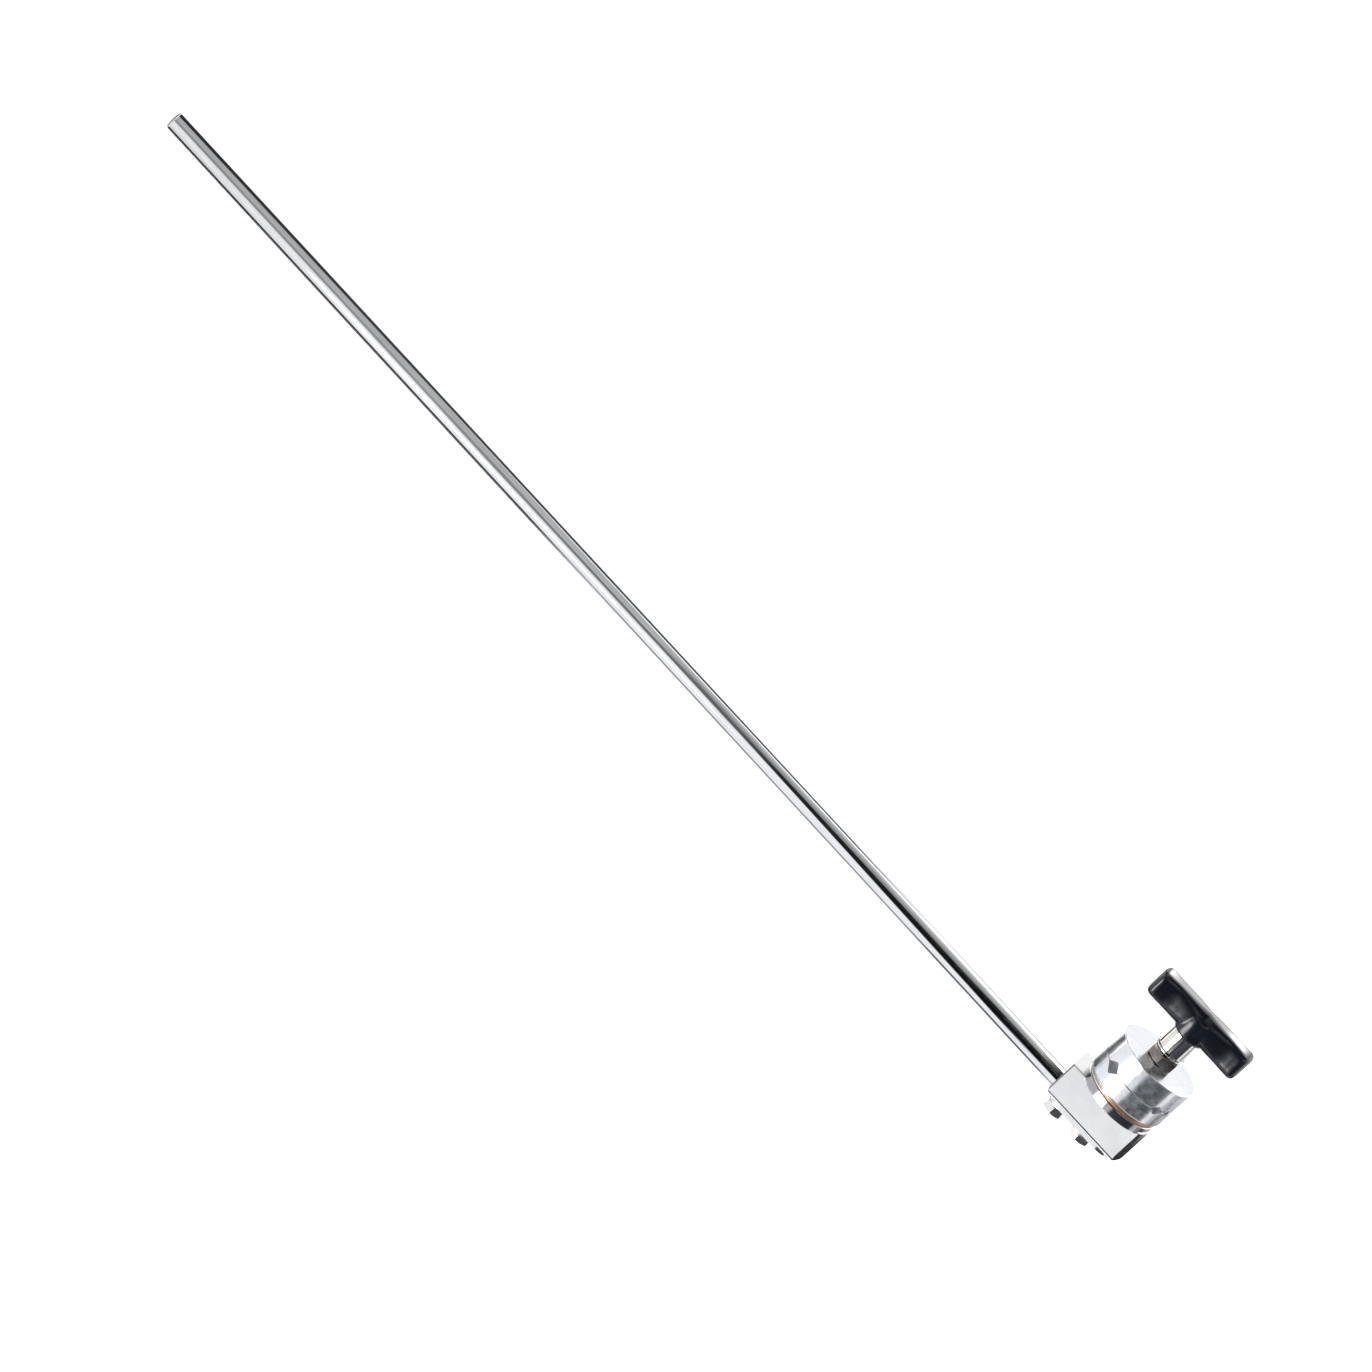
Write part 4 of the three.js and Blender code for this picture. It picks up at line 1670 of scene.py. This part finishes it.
@dataclass
class Bearing:
    """The roller bearing under the handle, in its hexagonal collar.

    Attributes:
        finishes: the arm's finishes.
        rollers: how many rollers.
        roller_diameter: their diameter with its gap, in millimetres.
        roller_share: share of that diameter that the rollers take.
        roller_gap: room at the rollers' ends.
        roller_edge: rounding of their ends.
        window_share: share of that diameter that the cage's windows take.
        cage_thickness: thickness of the cage.
        cage_edge: rounding of its edges.
        collar_across: width of the collar across its flats.
        collar_edge: rounding of its edges.
    """

    finishes: Finishes
    rollers: int = 12
    roller_diameter: float = 2.4
    roller_share: float = 0.92
    roller_gap: float = 0.15
    roller_edge: float = 0.12
    window_share: float = 0.94
    cage_thickness: float = 1.2
    cage_edge: float = 0.1
    collar_across: float = 22.4
    collar_edge: float = 0.35

    def build(self) -> None:
        """Make both races, the rollers in their cage and the collar."""
        self.race("race_lower", "bearing_race_lower", "outer_jaw_set")
        self.race("race_upper", "bearing_race_upper", "handle")
        self.roller_cage()
        self.collar()

    def race(self, name: str, node: str, body: str) -> None:
        """Turn a race.

        Args:
            name: the piece's name.
            node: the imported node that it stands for.
            body: the body that it rides on.
        """
        levels = span(node, 1)
        bore = SPINDLE_DIAMETER / 2 + BORE_GAP * 2
        piece = plain_ring(name, RACE_DIAMETER / 2, bore, levels.low, levels.high, FINE_EDGE)
        shown(piece, self.finishes.steel, body, node)

    def roller_cage(self) -> None:
        """Make the cage with a window for each roller, and the rollers in them."""
        levels = span("bearing_rollers", 1)
        outer = RACE_DIAMETER / 2
        bore = SPINDLE_DIAMETER / 2 + BORE_GAP * 2
        half = self.cage_thickness / 2
        cage_low, cage_high = levels.middle - half, levels.middle + half
        cage = plain_ring("roller_cage", outer, bore, cage_low, cage_high, self.cage_edge)
        length = outer - bore - BORE_GAP * 2
        middle = (outer + bore) / 2
        size = (self.roller_diameter * self.window_share, self.cage_thickness * 3, length + 0.1)
        rollers: list[bpy.types.Object] = []
        windows: list[bpy.types.Object] = []
        for index in range(self.rollers):
            turn = math.tau * index / self.rollers
            place = (SPINDLE_X + math.sin(turn) * middle, levels.middle, math.cos(turn) * middle)
            windows.append(bar("window", place, size, (0, turn, 0)))
            rollers.append(self.roller(place, turn, length))
        combined(cage, self.together(windows), Joining.CUT)
        merged(cage)
        cage = self.together([cage, *rollers])
        shown(cage, self.finishes.steel, "outer_jaw_set", "bearing_rollers")

    def roller(self, place: Place, turn: float, length: float) -> bpy.types.Object:
        """Make one roller with rounded ends, lying out from the spindle.

        Args:
            place: its middle, in millimetres.
            turn: its direction about the spindle, in radians.
            length: its length.

        Returns:
            The roller.
        """
        radius = self.roller_diameter * self.roller_share / 2
        nothing_selected()
        bpy.ops.mesh.primitive_cylinder_add(
            vertices=24, radius=radius * MM, depth=(length - self.roller_gap) * MM
        )
        roller = bpy.context.object
        edge_rounded(roller, self.roller_edge, 2)
        roller.rotation_euler = (0, turn, 0)
        roller.location = Vector(place) * MM
        return settle(roller)

    @staticmethod
    def together(pieces: Sequence[bpy.types.Object]) -> bpy.types.Object:
        """Join pieces into the first one.

        Args:
            pieces: the pieces.

        Returns:
            The first piece.
        """
        only(pieces[0])
        for piece in pieces:
            piece.select_set(True)
        bpy.ops.object.join()
        return pieces[0]

    def collar(self) -> None:
        """Make the hexagonal collar round the bearing."""
        levels = span("bearing_collar", 1)
        collar = hexagon("hex_collar", SPINDLE_X, self.collar_across, levels.low, levels.high)
        edge_rounded(collar, self.collar_edge, 3)
        hole = RACE_DIAMETER / 2 + BORE_GAP
        low, high = levels.low - CUT_OVERRUN, levels.high + CUT_OVERRUN
        combined(collar, plain_disc("collar_hole", hole, low, high), Joining.CUT)
        shown(collar, self.finishes.collar, "outer_jaw_set", "bearing_collar")


@dataclass
class Handle:
    """The chromed hub and the black T-handle moulded on it.

    Attributes:
        finishes: the arm's finishes.
        bead: how far the hub's bead stands out, in millimetres.
        bead_round: rounding of the bead.
        bead_foot: rounding where the bead meets the hub.
        hub_edge: rounding of the hub's edges.
        depth: the bar's depth where it is fullest.
        height: the bar's height at its middle.
        crown: how much lower its top is at the tips.
        end_rise: how much higher its underside is there.
        skirt_diameter: the skirt's diameter.
        skirt_slope: how far the skirt draws in at its mouth.
        skirt_round: rounding of the skirt's mouth.
        boss_waist: how much the boss draws in at the bar's middle height.
        boss_inset: from the bar's top down to the boss's rim.
        boss_draw: how much the boss draws in at its rim.
        boss_round: rounding of its rim.
        boss_top: how far the boss's top draws in.
        boss_rise: how far it rises above the rim.
        chamber_diameter: diameter of the room for the spindle's end.
        end_squareness: how square the bar's section is at the tips, 2 for an oval.
        middle_squareness: the same at the middle.
        square_reach: how fast the section gets squarer towards the tips.
        voxel: size of the handle's remeshed faces.
        smooth_angle: the sharpest edge that is smoothed, in radians.
        tip_start: share of half the bar's length where its rounded tip starts.
        tip_shrink: how far the tip's height shrinks at its very end.
        tip_share: share of the height that shrinks.
        steps: sections along the bar.
        section_points: points round each section.
        stations: the bar's outline as shares of half its length and of half its depth.
    """

    finishes: Finishes
    bead: float = 1.0
    bead_round: float = 0.7
    bead_foot: float = 0.5
    hub_edge: float = 0.8
    depth: float = 30.0
    height: float = 23.4
    crown: float = 0.6
    end_rise: float = 0.8
    skirt_diameter: float = 28.5
    skirt_slope: float = 1.5
    skirt_round: float = 1.0
    boss_waist: float = 0.2
    boss_inset: float = 6.5
    boss_draw: float = 0.9
    boss_round: float = 1.2
    boss_top: float = 4.0
    boss_rise: float = 1.6
    chamber_diameter: float = 17.0
    end_squareness: float = 5.0
    middle_squareness: float = 2.15
    square_reach: float = 1.6
    voxel: float = 0.62
    smooth_angle: float = math.radians(40)
    tip_start: float = 0.9
    tip_shrink: float = 0.92
    tip_share: float = 0.28
    steps: int = 60
    section_points: int = 64
    stations: tuple[Pair, ...] = (
        (0.0, 0.8),
        (0.2, 0.78),
        (0.42, 0.7),
        (0.62, 0.64),
        (0.8, 0.72),
        (0.92, 0.74),
        (0.985, 0.5),
        (1.0, 0.2),
    )

    def build(self) -> None:
        """Make the hub and the handle."""
        self.hub()
        self.handle()

    def hub(self) -> None:
        """Turn the hub."""
        levels = span("handle_hub", 1)
        collar = span("bearing_collar", 1)
        stem = collar.high + SEAT_GAP
        radius = HUB_DIAMETER / 2
        bead = radius + self.bead
        bead_low = stem + self.hub_edge * 2
        shoulder = RACE_DIAMETER / 2
        hole = SPINDLE_DIAMETER / 2 + BORE_GAP
        corners = [
            (hole, levels.low, FINE_EDGE),
            (shoulder, levels.low, FINE_EDGE),
            (shoulder, stem, 0),
            (radius - self.hub_edge, stem, FINE_EDGE),
            (bead, bead_low, self.bead_round),
            (bead, bead_low + self.bead, self.bead_round),
            (radius, bead_low + self.bead + self.hub_edge, self.bead_foot),
            (radius, levels.high, self.hub_edge),
            (hole, levels.high, FINE_EDGE),
        ]
        hub = turned("chromed_hub", corners, steps=LARGE_STEPS, closed=True)
        shown(hub, self.finishes.hub, "handle", "handle_hub")

    def handle(self) -> None:
        """Loft the bar, join the skirt, blend them and cut the room for hub and spindle."""
        box = span("t_handle", 1)
        length = span("t_handle", 0).length
        bar_low = box.high - self.height
        handle = self.lofted(length, bar_low, box.high)
        radius = self.skirt_diameter / 2
        rim = box.high - self.boss_inset
        skirt = turned(
            "skirt",
            [
                (0, box.low, 0),
                (radius - self.skirt_slope, box.low, self.skirt_round),
                (radius, bar_low, 0),
                (radius - self.boss_waist, bar_low + self.height / 2, 0),
                (radius - self.boss_draw, rim, self.boss_round),
                (radius - self.boss_top, rim + self.boss_rise, 0),
                (0, rim + self.boss_rise, 0),
            ],
        )
        combined(handle, skirt, Joining.JOIN)
        applied(handle, "REMESH", mode="VOXEL", voxel_size=self.voxel * MM, adaptivity=0.0)
        applied(handle, "SMOOTH", factor=0.5, iterations=14)
        hub = span("handle_hub", 1)
        low = box.low - CUT_OVERRUN
        pocket = plain_disc("hub_pocket", HUB_DIAMETER / 2 + BORE_GAP, low, hub.high + SEAT_GAP)
        spindle = span("spindle", 1)
        chamber = plain_disc("spindle_room", self.chamber_diameter / 2, hub.high, spindle.high + SEAT_GAP)
        combined(pocket, chamber, Joining.JOIN)
        combined(handle, pocket, Joining.CUT)
        shown(handle, self.finishes.plastic, "handle", "t_handle", self.smooth_angle)

    def half_depth(self, share: float) -> float:
        """Find half the bar's depth at a share of half its length, on a smooth line.

        Args:
            share: how far out, from 0 to 1.

        Returns:
            Half its depth, in millimetres.
        """
        rows = self.stations
        for index, (start, end) in enumerate(zip(rows, rows[1:])):
            if share <= end[0]:
                before = rows[index - 1] if index else (-rows[1][0], rows[1][1])
                after = rows[index + 2] if index + 2 < len(rows) else end
                width = end[0] - start[0]
                along = (share - start[0]) / width
                slope_in = (end[1] - before[1]) / (end[0] - before[0]) * width
                slope_out = (after[1] - start[1]) / (after[0] - start[0]) * width
                square, cube = along * along, along**3
                value = (
                    (2 * cube - 3 * square + 1) * start[1]
                    + (cube - 2 * square + along) * slope_in
                    + (3 * square - 2 * cube) * end[1]
                    + (cube - square) * slope_out
                )
                return value * self.depth / 2
        return rows[-1][1] * self.depth / 2

    def lofted(self, length: float, low: float, high: float) -> bpy.types.Object:
        """Extrude a rounded ring along the bar, scaled to its outline at each step.

        Args:
            length: the bar's length, in millimetres.
            low: level of its underside.
            high: level of its top.

        Returns:
            The bar.
        """
        steps = self.steps
        shares = [math.sin(math.pi / 2 * (2 * step / steps - 1)) for step in range(steps + 1)]
        half = length / 2
        nothing_selected()
        bpy.ops.mesh.primitive_circle_add(
            vertices=self.section_points, radius=MM, fill_type="NGON", rotation=(0, math.radians(90), 0)
        )
        piece = bpy.context.object
        piece.name = "moulded_t_handle"
        settle(piece)
        sizes = [self.section(share, low, high) for share in shares]
        first_depth, first_height, first_level = sizes[0]
        only(piece)
        bpy.ops.object.mode_set(mode="EDIT")
        bpy.ops.mesh.select_all(action="SELECT")
        bpy.ops.transform.resize(value=(1, first_height, first_depth))
        bpy.ops.transform.translate(value=Vector((SPINDLE_X - half, first_level, 0)) * MM)
        for index in range(1, steps + 1):
            depth, height, level = sizes[index]
            old_depth, old_height, old_level = sizes[index - 1]
            move = Vector(((shares[index] - shares[index - 1]) * half, level - old_level, 0)) * MM
            bpy.ops.mesh.extrude_region_move(TRANSFORM_OT_translate={"value": move})
            bpy.ops.transform.resize(
                value=(1, height / old_height, depth / old_depth),
                center_override=Vector((SPINDLE_X + shares[index] * half, level, 0)) * MM,
            )
        bpy.ops.object.mode_set(mode="OBJECT")
        self.square_up(piece, half, low, high)
        return merged(piece)

    def square_up(self, piece: bpy.types.Object, half: float, low: float, high: float) -> None:
        """Push the oval sections out into rounded squares, squarer towards the tips.

        Args:
            piece: the bar.
            half: half its length, in millimetres.
            low: level of the underside at the middle.
            high: level of the top at the middle.
        """
        gain = self.end_squareness - self.middle_squareness
        for vertex in piece.data.vertices:
            share = max(-1.0, min(1.0, (vertex.co.x / MM - SPINDLE_X) / half))
            depth, height, level = self.section(share, low, high)
            power = self.middle_squareness + gain * min(1, abs(share) * self.square_reach)
            rise = (vertex.co.y / MM - level) / height
            out = vertex.co.z / MM / depth
            size = (abs(rise) ** power + abs(out) ** power) ** (1 / power)
            if size > 0:
                vertex.co.y = (level + rise / size * height) * MM
                vertex.co.z = out / size * depth * MM

    def section(self, share: float, low: float, high: float) -> tuple[float, float, float]:
        """Find the bar's section at a share of half its length.

        Args:
            share: how far out, from -1 to 1.
            low: level of the underside at the middle.
            high: level of the top at the middle.

        Returns:
            Half its depth, half its height and its middle level, in millimetres.
        """
        out = abs(share)
        top = high - self.crown * out * out
        bottom = low + self.end_rise * out * out
        tip = max(0.0, (out - self.tip_start) / (1 - self.tip_start))
        shrink = math.sqrt(max(0.0, 1 - tip * tip * self.tip_shrink))
        half_height = (top - bottom) / 2 * (1 - self.tip_share + self.tip_share * shrink)
        return self.half_depth(out), half_height, (top + bottom) / 2


# Studio


@dataclass(frozen=True)
class Card:
    """A soft-edged card beside the arm that only reflections show.

    Attributes:
        name: its name.
        corners: its four corners, in metres, in order round it.
        start: its shade at the edge from the first corner to the last.
        end: its shade at the opposite edge.
        soft_ends: share of its length over which those two edges fade out.
        soft_sides: share of its width over which the other two fade out.
    """

    name: str
    corners: tuple[Place, Place, Place, Place]
    start: Colour
    end: Colour
    soft_ends: float = 0.1
    soft_sides: float = 0.15

    def build(self) -> None:
        """Add the card."""
        nothing_selected()
        bpy.ops.mesh.primitive_plane_add(size=1)
        card = bpy.context.object
        card.name = self.name
        for vertex, corner in zip([card.data.vertices[index] for index in (0, 1, 3, 2)], self.corners):
            vertex.co = corner
        card.data.materials.append(self.material())
        card.visible_camera = False
        card.visible_diffuse = False
        card.visible_shadow = False
        card.visible_transmission = False

    def material(self) -> bpy.types.Material:
        """Make its light fade out towards its edges."""
        graph = Graph(self.name)
        flat = graph.nodes["Texture Coordinate"].outputs["UV"]
        along, across = graph.along("X", flat), graph.along("Y", flat)
        fades = [
            graph.spread(along, 0, 1, 0, self.soft_ends),
            graph.spread(along, 1, 0, 1 - self.soft_ends, 1),
            graph.spread(across, 0, 1, 0, self.soft_sides),
            graph.spread(across, 1, 0, 1 - self.soft_sides, 1),
        ]
        cover = fades[0]
        for fade in fades[1:]:
            cover = graph.product(cover, fade)
        glow = graph.nodes.new("ShaderNodeEmission")
        graph.links.new(graph.blend(along, self.start, self.end), glow.inputs["Color"])
        clear = graph.nodes.new("ShaderNodeBsdfTransparent")
        mix = graph.nodes.new("ShaderNodeMixShader")
        graph.links.new(cover, mix.inputs["Fac"])
        graph.links.new(clear.outputs["BSDF"], mix.inputs[1])
        graph.links.new(glow.outputs["Emission"], mix.inputs[2])
        graph.links.new(mix.outputs["Shader"], graph.nodes["Material Output"].inputs["Surface"])
        graph.nodes.remove(graph.shader)
        return graph.material


def grey_card(
    name: str, corners: Sequence[Place], shades: Pair, soft_ends: float, soft_sides: float
) -> Card:
    """Describe a card without colour.

    Args:
        name: its name.
        corners: its four corners, in metres.
        shades: its shade at its first end and at its other end.
        soft_ends: share of its length over which the ends fade out.
        soft_sides: share of its width over which the sides fade out.

    Returns:
        The card.
    """
    return Card(name, tuple(corners), (shades[0],) * 3, (shades[1],) * 3, soft_ends, soft_sides)


def level_card(
    name: str, level: float, along: Pair, across: Pair, shades: Pair, soft_ends: float, soft_sides: float
) -> Card:
    """Describe a grey card that lies level over or under the arm.

    Args:
        name: its name.
        level: its height, in metres.
        along: its two ends along the rod's direction.
        across: its two sides along the spindle's direction.
        shades: its shade at each end.
        soft_ends: share of its length over which the ends fade out.
        soft_sides: share of its width over which the sides fade out.

    Returns:
        The card.
    """
    (near, far), (left, right) = along, across
    corners = ((near, left, level), (far, left, level), (far, right, level), (near, right, level))
    return grey_card(name, corners, shades, soft_ends, soft_sides)


def standing_card(
    name: str, place: float, along: Pair, heights: Pair, shades: Pair, soft_ends: float, soft_sides: float
) -> Card:
    """Describe a grey card that stands beside the rod, facing it.

    Args:
        name: its name.
        place: where it stands along the spindle's direction, in metres.
        along: its two ends along the rod's direction.
        heights: its lower and upper edge.
        shades: its shade at each end.
        soft_ends: share of its length over which the ends fade out.
        soft_sides: share of its height over which the sides fade out.

    Returns:
        The card.
    """
    (near, far), (low, high) = along, heights
    corners = ((near, place, low), (far, place, low), (far, place, high), (near, place, high))
    return grey_card(name, corners, shades, soft_ends, soft_sides)


@dataclass
class Studio:
    """The pale floor, the soft light, the cards and the camera.

    Attributes:
        floor_level: level of the floor, in metres.
        floor_size: its width.
        camera_place: where the camera stands.
        camera_turn: its turn about each axis, in degrees.
        camera_lens: its focal length, in millimetres.
        camera_sensor: width of its sensor, in millimetres.
        camera_reach: how far it sees, in metres.
        aim: the point that the soft boxes shine at.
    """

    floor_level: float = -0.42
    floor_size: float = 14.0
    camera_place: Place = (0.92117, 2.95352, 7.38244)
    camera_turn: Place = (-13.3926, 17.6151, 44.7109)
    camera_lens: float = 289.259
    camera_sensor: float = 36.0
    camera_reach: float = 100.0
    aim: Place = (0.8, 0.03, 0.0)

    def build(self) -> None:
        """Set up everything round the arm."""
        self.camera()
        self.floor()
        self.world()
        self.lights()
        self.cards()

    def camera(self) -> None:
        """Stand the camera where the photograph was taken from."""
        nothing_selected()
        turn = [math.radians(angle) for angle in self.camera_turn]
        bpy.ops.object.camera_add(location=self.camera_place, rotation=turn)
        camera = bpy.context.object
        camera.data.lens = self.camera_lens
        camera.data.sensor_width = self.camera_sensor
        camera.data.clip_end = self.camera_reach
        bpy.context.scene.camera = camera

    def floor(self) -> None:
        """Lay the pale floor."""
        nothing_selected()
        bpy.ops.mesh.primitive_plane_add(size=self.floor_size, location=(0.5, 0, self.floor_level))
        floor = bpy.context.object
        floor.name = "studio_floor"
        graph = Graph("pale_floor")
        patches = graph.spread(graph.noise(400, 2), 0, 1)
        graph.wire("Base Color", graph.blend(patches, (0.93, 0.93, 0.93), (0.9, 0.9, 0.9)))
        graph.shader.inputs["Roughness"].default_value = 0.9
        floor.data.materials.append(graph.material)

    def world(self) -> None:
        """Light the studio with a pale sky."""
        world = bpy.data.worlds.new("studio")
        world.use_nodes = True
        background = world.node_tree.nodes["Background"]
        background.inputs["Color"].default_value = (0.97, 0.98, 1.0, 1)
        background.inputs["Strength"].default_value = 1.0
        bpy.context.scene.world = world
        bpy.context.scene.view_settings.view_transform = "Standard"

    def lights(self) -> None:
        """Hang two large soft boxes."""
        self.soft_box("key_box", (-0.6, -1.2, 2.6), (1.6, 1.6), 70)
        self.soft_box("fill_box", (1.8, 1.8, 2.4), (1.2, 1.2), 30)

    def soft_box(self, name: str, place: Place, size: Pair, power: float) -> None:
        """Hang one soft box that shines at the head.

        Args:
            name: its name.
            place: where it hangs, in metres.
            size: its width and height.
            power: its power, in watts.
        """
        nothing_selected()
        bpy.ops.object.light_add(type="AREA", location=place)
        light = bpy.context.object
        light.name = name
        aim = Vector(self.aim) - Vector(place)
        light.rotation_euler = aim.to_track_quat("-Z", "Y").to_euler()
        light.data.shape = "RECTANGLE"
        light.data.size = size[0]
        light.data.size_y = size[1]
        light.data.energy = power
        light.visible_camera = False

    def cards(self) -> None:
        """Stand the cards that give the chrome its dark bands."""
        cards = [
            level_card("head_roof_card", 0.48, (0.84, 1.18), (-0.12, 0.62), (0.006, 0.006), 0.05, 0.05),
            grey_card(
                "overhead_card",
                ((0.58, 0.1, 0.485), (0.93, -0.28, 0.485), (0.93, 0.5, 0.485), (0.58, 0.5, 0.485)),
                (0.012, 0.006),
                0.14,
                0.1,
            ),
            level_card("streak_card", 0.49, (0.22, 0.76), (0.04, 0.5), (0.3, 0.006), 0.14, 0.3),
            level_card("tip_streak_card", 0.495, (-0.3, 0.36), (0.06, 0.5), (0.24, 0.3), 0.05, 0.3),
            grey_card(
                "slope_card",
                ((0.46, 0.506, 0.953), (0.46, 1.046, -0.261), (0.99, 1.046, -0.261), (0.99, 0.506, 0.953)),
                (0.015, 0.72),
                0.02,
                0.12,
            ),
            standing_card("side_card", 1.1, (-0.3, 0.6), (-0.2, 1.2), (0.42, 0.52), 0.1, 0.1),
            grey_card(
                "line_card",
                ((-0.3, 0.75, 0.14), (0.82, 0.5, -0.33), (0.82, 0.15, -0.405), (-0.3, 0.33, -0.405)),
                (0.002, 0.12),
                0.1,
                0.16,
            ),
            grey_card(
                "pale_card",
                ((-0.3, -0.31, 0.12), (0.2, -0.31, 0.12), (0.2, 0.025, 0.25), (-0.3, 0.025, 0.25)),
                (0.56, 0.9),
                0.15,
                0.08,
            ),
            standing_card("left_card", -0.8, (-0.4, 0.46), (-0.39, 0.27), (0.02, 0.06), 0.14, 0.14),
            standing_card("left_middle_card", -0.81, (0.38, 0.86), (-0.3, 0.25), (0.32, 0.36), 0.14, 0.16),
            standing_card("left_end_card", -0.8, (0.78, 0.95), (-0.3, 0.3), (0.14, 0.12), 0.14, 0.16),
            standing_card("head_card", -0.8, (0.93, 1.24), (-0.07, 0.33), (0.02, 0.02), 0.1, 0.2),
            standing_card("edge_card", 0.45, (0.925, 1.25), (-0.18, 0.5), (0.008, 0.008), 0.04, 0.08),
            level_card("floor_card", -0.4, (-0.05, 0.98), (-0.42, -0.12), (0.02, 0.02), 0.08, 0.2),
            grey_card(
                "far_floor_card",
                ((0.92, -0.42, -0.4), (1.95, -0.7, -0.4), (1.95, -0.305, -0.4), (0.92, -0.087, -0.4)),
                (0.02, 0.02),
                0.06,
                0.06,
            ),
            grey_card(
                "grey_floor_card",
                ((1.06, -0.3, -0.405), (3.6, -1.4, -0.405), (3.6, -0.66, -0.405), (1.06, -0.05, -0.405)),
                (0.5, 0.42),
                0.04,
                0.1,
            ),
            level_card("mouth_card", -0.395, (0.7, 1.2), (-0.08, 0.11), (0.02, 0.02), 0.1, 0.15),
            level_card("front_card", -0.39, (0.8, 1.14), (0.1, 0.34), (1.06, 1.06), 0.1, 0.1),
            Card(
                "strip_card",
                ((0.92, 0.136, -0.104), (1.03, 0.136, -0.104), (1.03, 0.2, -0.084), (0.92, 0.2, -0.084)),
                (3.6, 3.6, 3.7),
                (3.6, 3.6, 3.7),
                0.1,
                0.3,
            ),
            Card(
                "shoulder_card",
                ((0.92, 0.185, -0.092), (1.03, 0.185, -0.092), (1.03, 0.275, -0.045), (0.92, 0.275, -0.045)),
                (2.0, 2.0, 2.1),
                (2.0, 2.0, 2.1),
                0.1,
                0.45,
            ),
            Card(
                "drum_card",
                ((1.05, -0.75, 0.86), (1.85, -0.75, 0.07), (1.85, 0.62, 0.07), (1.05, 0.62, 0.86)),
                (0.1, 0.11, 0.13),
                (0.035, 0.038, 0.046),
            ),
            level_card("left_floor_card", -0.405, (-0.4, 0.46), (-0.82, -0.33), (0.02, 0.06), 0.14, 0.12),
        ]
        for side, near in (("left", 0.926), ("right", 1.003)):
            far = near + 0.021
            corners = ((near, 0.14, -0.1), (far, 0.14, -0.1), (far, 0.19, -0.085), (near, 0.19, -0.085))
            cards.append(grey_card(f"{side}_spark_card", corners, (9.0, 9.0), 0.25, 0.25))
        for card in cards:
            card.build()


def main() -> None:
    """Build every sub-assembly and the studio."""
    logging.basicConfig(level=logging.INFO, format="%(name)s %(message)s")
    finishes = Finishes.made()
    studio = Studio()
    studio.build()
    for part in (
        Rod(finishes),
        HeadBlock(finishes),
        Spindle(finishes),
        FrictionStack(finishes),
        Jaws(finishes),
        Bearing(finishes),
        Handle(finishes),
    ):
        part.build()
        log.info("%s is built", type(part).__name__)


if __name__ == "__main__":
    main()
